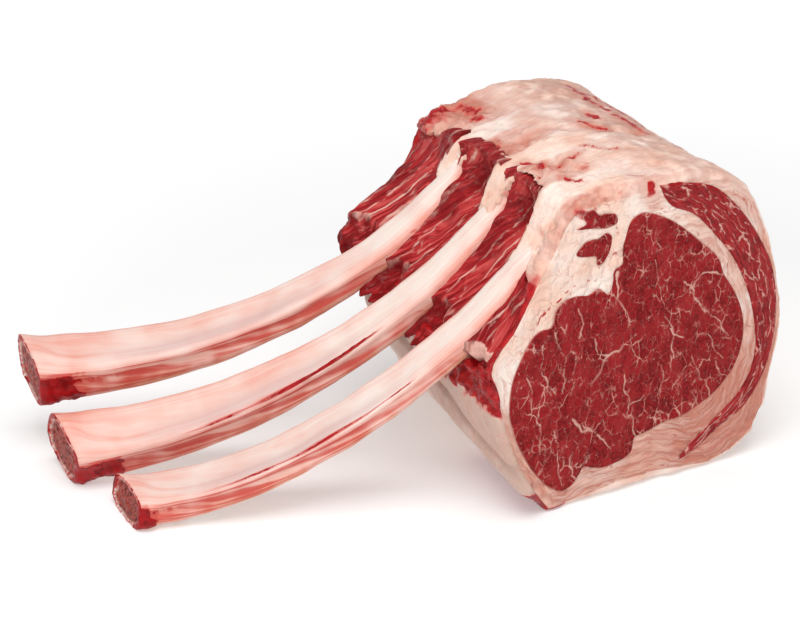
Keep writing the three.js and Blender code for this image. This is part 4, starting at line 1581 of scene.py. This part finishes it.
        # Grey film: the flank's membrane, partly painted shade there, and a painted shadow in the crevice
        # under the seam's upper sheet
        film = 0.7 * flank + 0.4 * silver + 0.5 * np.exp(-(self.off_seam(grid) / 3)**2) * flank
        brow = skin * ease(y, -45, -75) * ease(z, 108, 122) * ease(x, 25, -5)
        return {"lean": lean, "crease": crease, "pads": np.clip(0.15 + shoulder + 0.4 * brow, 0, 1),
                "film": np.clip(film, 0, 1) * (1 - np.minimum(lean, 1)), "blush": np.clip(blush, 0, 1)}

    def closed(self, points: Array, layers: Layers) -> Surface:
        """Closes the grid with a point under each face and joins it into one mesh.

        Args:
            points: Grid of points from the front face to the back one.
            layers: Painted shares on the grid.

        Returns:
            The closed fat.
        """
        rows, columns = points.shape[:2]
        ends = [points[0].mean(axis=0), points[-1].mean(axis=0)]
        count = rows * columns
        ring = np.arange(columns)
        last = ring + (rows - 1) * columns
        faces = [quads(rows, columns, True), joined(np.roll(ring, -1), ring, count),
                 joined(last, np.roll(last, -1), count + 1)]
        flat = {key: np.append(values.ravel(), [0, 0]) for key, values in layers.items()}
        return Surface(np.concatenate([points.reshape(-1, 3), ends]), faces, flat)


@dataclass
class RibBone:
    """A bared rib: a flat strip with crisp upper edges, and a sawn end."""

    shape: RibShape
    along: int = 320
    around: int = 112
    end_rings: int = 26
    upper_squareness: float = 4.6
    lower_squareness: float = 3.2
    far_saw: float = 0.19
    saw_from: float = 0.85
    top_sink: float = 3.0
    top_squareness: float = 2.4
    tip_squareness: float = 3.0

    def build(self) -> Surface:
        """Carries a rounded strip along the rib's path, widening and twisting towards the sawn tip.

        The section is a superellipse, squarer above than below. Its top is slightly hollow, its near side has
        a groove under the edge, and the last few millimetres flare out. At the top the rib narrows and sinks
        under the fat.

        Returns:
            The closed rib.
        """
        # Path, and the directions along, across and up
        shape = self.shape
        u = np.linspace(RIB_BED.covered, 1, self.along)
        path, along = shape.path(u)
        centre = joined(path[:, 0], shape.middle(path[:, 0]), path[:, 1])
        forward = joined(along[:, 0], -shape.slant * along[:, 0], along[:, 1])
        forward /= np.linalg.norm(forward, axis=1, keepdims=True)
        across = np.array([shape.slant, 1, 0]) / math.hypot(shape.slant, 1)
        up = np.cross(across, forward)
        up *= np.sign(up[:, 2:]) / np.linalg.norm(up, axis=1, keepdims=True)
        twist = np.radians(mix(shape.twist[0], shape.twist[1], u**2))[:, None]
        side = across * np.cos(twist) + up * np.sin(twist)
        top = up * np.cos(twist) - across * np.sin(twist)

        # Section, hollowed, grooved and cut aslant by the saw
        length = run_along(centre)
        from_tip = (length[-1] - length)[:, None]
        flare = 1 + 0.07 * ease(from_tip, 14, 2)
        buried = 1 - ease(u, RIB_BED.covered, 0.24)[:, None]
        depth = mix(RIB_BED.thickness, shape.depth, u**2)[:, None] * flare
        half = RIB_BED.half_width(u)[:, None] * flare
        angle = np.linspace(-math.pi / 2, 3 * math.pi / 2, self.around, endpoint=False)[None, :]
        upper = mix(self.top_squareness, self.upper_squareness, ease(u, 0.12, 0.55))[:, None]
        blunt = ease(from_tip, 30, 4)
        power = 2 / mix(np.where(np.sin(angle) > 0, upper, self.lower_squareness), self.tip_squareness, blunt)
        w = np.sign(np.cos(angle)) * np.abs(np.cos(angle))**power
        h = np.sign(np.sin(angle)) * np.abs(np.sin(angle))**power
        hollow = 1.2 * ease(h, 0.3, 0.9) * (1 - w * w) * ease(u, 0.2, 0.5)[:, None] * ease(from_tip, 3, 16)
        groove = 1.5 * ease(-w, 0.8, 0.98) * np.exp(-((h - 0.15) / 0.28)**2) * ease(u, 0.35, 0.55)[:, None]
        a = half * w + groove
        d = depth / 2 * h - hollow - self.top_sink * buried
        saw = shape.saw_skew * (a - half) + self.far_saw * half + shape.saw_undercut * (d - depth / 2)
        sawn = ease(u, self.saw_from, 1)[:, None] * saw
        grid = (centre[:, None] + forward[:, None] * sawn[..., None] + side[:, None] * a[..., None]
                + top[:, None] * (d - depth / 2)[..., None])

        # Uneven skin, with clots where the blood is thick
        layers = self.paint(grid, u[:, None], from_tip, w, h, angle)
        normal = grid_normals(grid, True)
        normal *= np.sign(np.median(np.sum(normal * (grid - grid.mean(axis=1, keepdims=True)), axis=-1)))
        place = grid + shape.y * 3
        height = 1.1 * GRAIN.layers(place, 32.0, 2) + 0.35 * GRAIN.at(place, (24.0, 24.0, 5.0))
        clots = ease(layers["blood"], 0.6, 1) * (0.4 + 1.4 * GRAIN.layers(place, 5.0))
        height += clots * ease(from_tip, 0, 4)
        grid = grid + normal * height[..., None]
        return self.closed(grid, layers, length, half * angle)

    def closed(self, grid: Array, layers: Layers, length: Array, around: Array) -> Surface:
        """Adds the sawn end and the hidden top end.

        The sawn end shrinks the last ring towards its middle, with a rim, then a sunk spongy face with pits.

        Args:
            grid: Points of the rib's skin.
            layers: Painted shares on the skin.
            length: Distance of each row from the top end.
            around: Distance round the section, for the grain.

        Returns:
            The closed rib.
        """
        rows, columns = grid.shape[:2]
        part = np.linspace(0, 1, self.end_rings + 1)[1:-1, None]
        tip = grid[-1]
        middle = tip.mean(axis=0)
        outward = np.cross(tip[columns // 4] - middle, tip[0] - middle)
        outward /= np.linalg.norm(outward)
        outward *= np.sign(outward @ (middle - grid[-12].mean(axis=0)))
        end = middle + (tip - middle)[None] * (1 - part)[..., None]
        inside = ease(part + 0.1 * GRAIN.layers(end, 6.0), 0.16, 0.26)
        rough = 1.3 * inside * GRAIN.layers(end, 2.6, 2) + 0.8 * (1 - inside) * GRAIN.layers(end, 3.5)
        off_rim = ease(part, 0, 0.08)
        end = end + outward * ((0.6 + rough) * off_rim - 1.4 * inside)[..., None]
        ends = [middle - outward, grid[0].mean(axis=0)]
        points = np.concatenate([grid.reshape(-1, 3), end.reshape(-1, 3), ends])
        points[:, 2] = np.maximum(points[:, 2], 0.0)
        start = rows * columns
        count = start + end.shape[0] * columns
        ring = np.arange(columns)
        inner = ring + count - columns
        faces = [quads(rows, columns, True), quads(end.shape[0], columns, True, start),
                 ribbon(ring + (rows - 1) * columns, ring + start)[:, ::-1],
                 joined(inner, np.roll(inner, -1), count), joined(np.roll(ring, -1), ring, count + 1)]
        stains = 0.55 * ease(GRAIN.layers(end, 7.0), 0.05, 0.3) + 0.7 * (1 - inside) * ease(part, -0.05, 0.05)
        full = {"sponge": np.concatenate([np.zeros(start), inside.ravel(), [1, 0]])}
        for key, values in layers.items():
            rim = values[-1][None] * ease(part, 0.2, 0.05)
            full[key] = np.concatenate([values.ravel(), (rim + stains * (key == "blood")).ravel(), [0, 0]])
        skin_map = joined(length[:, None], around).reshape(-1, 2)
        end_map = joined(length[-1] + 20 * part, around[-1:]).reshape(-1, 2)
        return Surface(points, faces, full).lay_grain(np.concatenate([skin_map, end_map, np.zeros((2, 2))]))

    def paint(self, grid: Array, u: Array, from_tip: Array, w: Array, h: Array, angle: Array) -> Layers:
        """Shares of salmon, tan, lilac and blood on the rib's skin. The lilac is painted shade, and the
        salmon of the near side and the blood of the lower side are partly painted shade.

        Args:
            grid: Points of the skin.
            u: Part of the way along the rib.
            from_tip: Distance from the sawn tip.
            w: Place across the section, -1 on the near side and 1 on the far side.
            h: Place up the section, -1 at the bottom and 1 on top.
            angle: Angle round the section, with the near upper edge at three quarters of pi.

        Returns:
            The shares, from 0 to 1.
        """
        shape = self.shape
        noise = GRAIN.layers(grid, 22.0)
        fleck = GRAIN.layers(grid + 70, 9.0)
        upper = ease(h, 0.35, 0.9)
        near = ease(-w, 0.7, 0.95) * (1 - upper)
        far_edge = ease(w, 0.7, 0.97) * upper
        # Salmon is strongest on the near side: partly the bone's colour, partly painted shade on that side
        salmon = shape.flush * ease(u, 0.3, 0.62) * upper + 0.75 * near + 0.4 * far_edge * ease(u, 0.3, 0.6)
        salmon += 0.45 * ease(np.abs(w), 0.4, 0.9) * upper * ease(u, 0.6, 0.35)
        salmon += 0.45 * noise + 0.25 * ease(from_tip, 50, 5) + 0.02
        tan = 0.8 * ease(-h, -0.2, 0.8) * ease(-w, 0.2, 0.8) * ease(noise, -0.4, 0.2)
        # Painted shade: a grey-lilac band along the top face near its near edge
        lilac = 0.6 * np.exp(-((w + 0.6) / 0.35)**2) * upper * ease(u, 0.42, 0.6) * ease(u, 0.95, 0.75)
        lilac = np.clip(lilac, 0, 0.6)
        reach = from_tip + 12 * fleck
        solid = 1.25 * near * ease(reach, shape.blood + 4, shape.blood - 4)
        groove = np.exp(-((h - 0.2) / 0.3)**2) * near * ease(reach, shape.smear + 15, shape.blood)
        edge = np.exp(-((angle - 0.78 * math.pi) / 0.2)**2) * ease(u, 0.36, 0.5) * shape.edge_line
        edge = edge * (0.75 + 0.9 * GRAIN.at(grid, 26.0)) * ease(u, 0.95, 0.72)
        collar = ease(from_tip + 3 * fleck, 6, 2) * ease(np.abs(w), 0.5, 0.9) * (0.45 + 0.9 * fleck)
        flecks = 0.5 * near * ease(GRAIN.at(grid, (30.0, 14.0, 4.0)), 0.12, 0.3)
        # Red stain over the lower side: partly the bone's own streaks, partly painted shade
        under = (0.6 + 0.4 * noise) * (1 - upper) * ease(u, 0.3, 0.45) * ease(h, -1.2, -0.4)
        blood = np.maximum.reduce([solid, groove * ease(fleck, -0.4, 0.0), edge, collar, flecks, under])
        return {"salmon": np.clip(salmon, 0, 1), "tan": np.clip(tan, 0, 1), "lilac": lilac,
                "blood": np.clip(blood, 0, 1.2)}


@dataclass
class RibMeat:
    """A strip of meat in the bed beside a rib, torn off at its lower end.

    Attributes:
        name: Name of the piece.
        node: Solid that it stands for.
        after: Number of the rib before the strip, if there is one.
        before: Number of the rib behind the strip, if there is one.
        starts: Parts of the way along the ribs where its two sides start.
        ends: Parts of the way where they end.
        edges: Depths of its two sides below the ribs' tops.
        films: Place across, half width and lean of each line of membrane.
        sag: Extra depth between the sides.
        notch: Depth of the hollow near the top.
        rise: Swell of the far side.
        pale_end: Part of the length that is pale film, above 0 where the end is cut and not torn.
        rounded: How far the far side rounds off.
        shear: Slant of the grain.
        rim: Distance from the front face.
    """

    name: str
    node: str
    after: int | None
    before: int | None
    starts: tuple[float, float]
    ends: tuple[float, float]
    edges: tuple[float, float]
    films: Line
    sag: float = 0.0
    notch: float = 0.0
    rise: float = 0.0
    pale_end: float = 0.0
    rounded: float = 0.0
    shear: float = 0.0
    rim: float = 3.0
    rows: int = 190
    columns: int = 64
    under_rib: float = 2.0
    lower: float = 12.6
    least: float = 0.6
    notch_at: float = 0.08
    notch_reach: float = 0.05
    torn_from: float = 0.8
    torn_drop: float = 5.0
    rib_length: float = 260.0

    def side(self, u: Array, rib: int | None, sign: int) -> Array:
        """Y of one side of the strip: just under the rib beside it, or near the cut face of the block.

        Args:
            u: Parts of the way along the ribs.
            rib: Number of the rib beside the strip, if there is one.
            sign: 1 where the strip lies behind the rib or the front face, -1 where it lies before.

        Returns:
            Places across the block, of the same shape.
        """
        if rib is None:
            return np.full(u.shape, BLOCK.front + self.rim if sign > 0 else BLOCK.back)
        shape = RIBS[rib]
        return shape.middle(shape.path(u)[0][..., 0]) + sign * (RIB_BED.half_width(u) - self.under_rib)

    def build(self) -> Surface:
        """Grid along and across the strip between the ribs.

        The surface lies below the ribs' tops by a straight blend of the two edge depths, plus a sag between
        them and a hollow near the top, less a swell of the outer side. Fibres run along it as ridges, its
        top end is rounded, and its lower end is torn into lumps that lie deeper.

        Returns:
            The closed strip.
        """
        # Places along and across the ribs
        v = np.linspace(0, 1, self.columns)[None, :]
        part = np.linspace(0, 1, self.rows)[:, None]**1.5
        whole, plug = float(self.pale_end == 0), float(self.notch > 0)
        tear = 0.006 * (np.sin(11 * v + self.ends[0] * 50) + np.sin(23 * v))
        swing = 0.01 * np.sin(5 * v + 1) + 0.005 * np.sin(13 * v)
        u = mix(mix(*self.starts, v), mix(*self.ends, v), part) + mix(swing, tear, whole) * ease(part, 0.6, 1)
        bumpy = joined(90 * part, 30 * v, 7.0 * len(self.name))
        u = u - 0.02 * GRAIN.layers(bumpy, 8.0) * ease(part, 0.15, 0.02)
        y = mix(self.side(u, self.after, 1), self.side(u, self.before, -1), v)
        width = np.abs(y[:, -1:] - y[:, :1])
        flat = joined(self.rib_length * u, v * width, 5.0 * len(self.name))
        rough = GRAIN.layers(flat, 7.0)

        # Depth of the smooth form
        depth = mix(*self.edges, v) + 4 * self.sag * v * (1 - v)
        top = np.exp(-((u - self.notch_at) / self.notch_reach)**2) * ease(v, 1.05, 0.55) * plug
        depth = depth + self.notch * top - self.rise * v * ease(part, 0, 1)
        depth = depth - plug * (2.5 + 4 * GRAIN.layers(flat + 30, 11.0)) * (1 - ease(part, 0.02, 0.16))
        depth = depth + self.rounded * (ease(v, 0.7, 1)**2 + ease(v, 0.4, 1) * (1 - ease(part, 0, 0.15)))

        # Membranes, and the end that is torn or cut
        waver = 3.0 * GRAIN.layers(flat, 16.0)
        film = np.zeros(u.shape)
        for middle, half, lean in self.films:
            line = np.abs((v - middle - lean * (part - 0.5)) * width + waver)
            line = 1 - ease(line, 0.4 * half, half)
            film = np.maximum(film, line * ease(GRAIN.at(flat + 60, (22.0, 6.0, 6.0)), -0.4, -0.1))
        break_line = part + 0.03 * rough + 0.08 * GRAIN.at(flat + 20, 14.0)
        torn = ease(break_line, self.torn_from, self.torn_from + 0.05) * whole
        lip = np.exp(-((break_line - self.torn_from - 0.02) / 0.025)**2) * ease(v, 0.15, 0.4) * whole
        pale = ease(part + 0.06 * rough, 1 - self.pale_end, 1 - 0.6 * self.pale_end) * (1 - whole)
        film = np.maximum.reduce([film * (1 - torn), 1.5 * pale, lip])

        # Ridges of the fibres, lumps and rounded ends
        ridges = 1.1 * GRAIN.at(flat, (34.0, 4.5, 9.0)) + 0.5 * GRAIN.at(flat, (16.0, 1.8, 9.0))
        ridges = ridges * ease(part, 0.03, 0.2) * ease(np.abs(v - 0.5), 0.5, 0.36)
        lumps = (1.5 + 2.0 * (self.rounded > 0) * ease(v, 0.4, 1)) * GRAIN.layers(flat + 40, 15.0, 2)
        depth = depth - ridges * (1 - torn) - lumps - 2.4 * rough * np.maximum(torn, top) - 0.5 * film
        depth = depth + self.torn_drop * (torn + 0.5 * ease(part, 0.92, 1) * (1 - whole))
        near_end = np.minimum(part / 0.05, mix(1.0, (1 - part) / 0.06, whole))
        thin = self.lower - self.least
        depth = mix(depth, thin, 1 - np.sqrt(1 - (1 - np.clip(near_end, 0, 1))**2))
        depth = np.minimum(depth, thin)
        points, faces = slab(RIB_BED.point(u, y, depth), RIB_BED.point(u, y, np.full(u.shape, self.lower)))

        # Dark wet patches and painted shade in the hollows, and grain that follows the surface
        patches = 0.42 * ease(GRAIN.layers(flat + 80, 24.0), 0.0, 0.35)
        # Dark wet flesh on the torn lumps and in patches; painted shade in the notch hollow and at the top
        # end, where the strip dips under the fat
        wet = np.maximum.reduce(np.broadcast_arrays(
            0.6 * torn * ease(rough, -0.4, 0.2), 0.6 * top, 0.35 * ease(part, 0.07, 0.03), patches))
        layers = {"film": np.concatenate([film.ravel(), 1.5 * pale.ravel()]),
                  "wet": np.concatenate([wet.ravel(), np.full(u.size, 0.6)])}
        steps = np.hypot(np.diff(self.rib_length * u, axis=0), np.diff(depth, axis=0))
        reach = np.concatenate([np.zeros((1, self.columns)), np.cumsum(steps, axis=0)])
        plane = joined(reach, flat[..., 1] + self.shear * reach).reshape(-1, 2)
        return Surface(points, faces, layers).lay_grain(np.concatenate([plane, plane]))


RIB_MEAT = (
    RibMeat("front_wedge_meat", "rib_meat_front", after=None, before=0, starts=(0.24, 0.17), ends=(0.35, 0.4),
            edges=(5.5, 2), sag=-1.5, pale_end=0.16,
            films=((0.02, 1.4, 0), (0.36, 1.1, 0.2), (0.66, 1.0, 0.15), (0.98, 1.6, 0))),
    RibMeat("front_gap_meat", "rib_meat_front_gap", after=0, before=1, starts=(-0.014, -0.014),
            ends=(0.43, 0.43), edges=(5, 3), sag=3, notch=7, shear=-0.25,
            films=((0.05, 2.0, 0), (0.34, 0.9, 0.2), (0.66, 0.9, 0.3), (1.0, 1.6, 0))),
    RibMeat("back_gap_meat", "rib_meat_back_gap", after=1, before=2, starts=(-0.014, -0.014),
            ends=(0.44, 0.44), edges=(5, 3), sag=3, notch=7, shear=-0.3,
            films=((0.05, 2.0, 0), (0.3, 1.3, 0.45), (0.62, 1.0, 0.5), (0.92, 3.4, 0.3))),
    RibMeat("behind_rib_meat", "rib_meat_back", after=2, before=None, starts=(-0.014, 0.05), ends=(0.4, 0.4),
            edges=(3, 11), rise=15, rounded=5.0, shear=-0.25,
            films=((0.04, 2.4, 0), (0.25, 1.4, 0.4), (0.45, 1.2, 0.4), (0.66, 1.3, 0.4), (0.85, 1.2, 0.3))),
)


@dataclass(frozen=True)
class Studio:
    """White floor, soft light from above and a camera at the height of a standing cook."""

    position: tuple[float, float, float] = (-0.6002, -0.8821, 0.5342)
    azimuth: float = 30.0
    elevation: float = 24.0
    lens: float = 99.0
    floor_size: float = 12.0
    aim: tuple[float, float, float] = (-0.05, 0.0, 0.07)
    room_light: float = 0.4
    lights: tuple[tuple[str, tuple[float, float, float], float, float], ...] = (
        ("key_light", (-0.3, -0.4, 1.3), 0.9, 13.0), ("fill_light", (-1.1, -0.9, 0.8), 1.2, 4.5))

    def build(self) -> None:
        """Adds the camera, the floor, the lights and the pale surroundings."""
        scene = bpy.context.scene
        scene.view_settings.view_transform = "Standard"
        camera = bpy.data.cameras.new("camera")
        camera.lens = self.lens
        camera.sensor_width = 36.0
        camera.clip_end = 50.0
        holder = bpy.data.objects.new("camera", camera)
        holder.location = self.position
        holder.rotation_euler = (math.radians(90 - self.elevation), 0.0, math.radians(-self.azimuth))
        scene.collection.objects.link(holder)
        scene.camera = holder
        self.floor()
        for lamp in self.lights:
            self.light(*lamp)
        world = bpy.data.worlds.new("pale_room")
        scene.world = world
        world.use_nodes = True
        world.node_tree.nodes["Background"].inputs["Color"].default_value = (1, 1, 1, 1)
        world.node_tree.nodes["Background"].inputs["Strength"].default_value = self.room_light

    def floor(self) -> None:
        """A floor of matt white paper that glows a little more away from the roast."""
        material, node = new_material("white_paper_floor")
        place = node("TexCoord", out="Object")
        away = node("VectorMath", {0: place}, "Value", operation="LENGTH")
        glow = node("MapRange", {
            "Value": away, "From Min": 0.3, "From Max": 0.9, "To Min": 0.27, "To Max": 0.66})
        shader = node("BsdfPrincipled", {
            "Base Color": linear("e2e2e2"), "Roughness": 0.9, "Specular IOR Level": 0.0,
            "Emission Color": (1, 1, 1, 1), "Emission Strength": glow})
        node("OutputMaterial", {"Surface": shader})
        half = self.floor_size / 2
        corners = [(-half, -half, 0), (half, -half, 0), (half, half, 0), (-half, half, 0)]
        mesh = bpy.data.meshes.new("floor")
        mesh.from_pydata(corners, [], [(0, 1, 2, 3)])
        mesh.materials.append(material)
        floor = bpy.data.objects.new("floor", mesh)
        bpy.context.scene.collection.objects.link(floor)

    def light(self, name: str, place: tuple[float, float, float], size: float, power: float) -> None:
        """A square soft light aimed at the middle of the roast.

        Args:
            name: Name of the light.
            place: Where it stands, in metres.
            size: Length of its sides in metres.
            power: Power in watts.
        """
        lamp = bpy.data.lights.new(name, "AREA")
        lamp.size = size
        lamp.energy = power
        holder = bpy.data.objects.new(name, lamp)
        holder.location = place
        aim = np.array(self.aim) - np.array(place)
        flat = math.hypot(aim[0], aim[1])
        holder.rotation_euler = (math.atan2(flat, -aim[2]), 0.0, math.atan2(aim[1], aim[0]) - math.pi / 2)
        bpy.context.scene.collection.objects.link(holder)


def main() -> None:
    """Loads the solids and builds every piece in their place."""
    logging.basicConfig(level=logging.INFO, format="%(message)s")
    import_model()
    Studio().build()
    lean, fat, bone = LeanCut().material(), BeefFat().material(), BaredBone().material()
    cap = FibreMeat(
        "raw_cap_beef", middle="a31b20", painted_highlight="ad3433", film="e6b0a2", streak=(7.0, 1.2),
        bundle=(15.0, 3.8), line_width=0.11, line_strength=0.85, line_from=0.46, sheet_from=0.74,
        waver=(5.0, 2.6)).material()
    strips = FibreMeat("raw_rib_beef").material()
    FatCover().build().add("block_fat", "fat_cover", Slot.FAT, fat)
    EyeMuscle().build().add("eye_meat", "eye_muscle", Slot.LEAN, lean)
    CapMuscle().build().add("cap_meat", "cap_muscle", Slot.LEAN, cap)
    StripMuscle().build(UPPER_STRIP).add("upper_strip_meat", "upper_strip_muscle", Slot.LEAN, lean)
    StripMuscle().build(LOWER_STRIP).add("lower_strip_meat", "lower_strip_muscle", Slot.LEAN, lean)
    for shape in RIBS:
        RibBone(shape).build().add(shape.name, shape.node, Slot.BONE, bone)
    for strip in RIB_MEAT:
        strip.build().add(strip.name, strip.node, Slot.RIB_MEAT, strips)


if __name__ == "__main__":
    main()
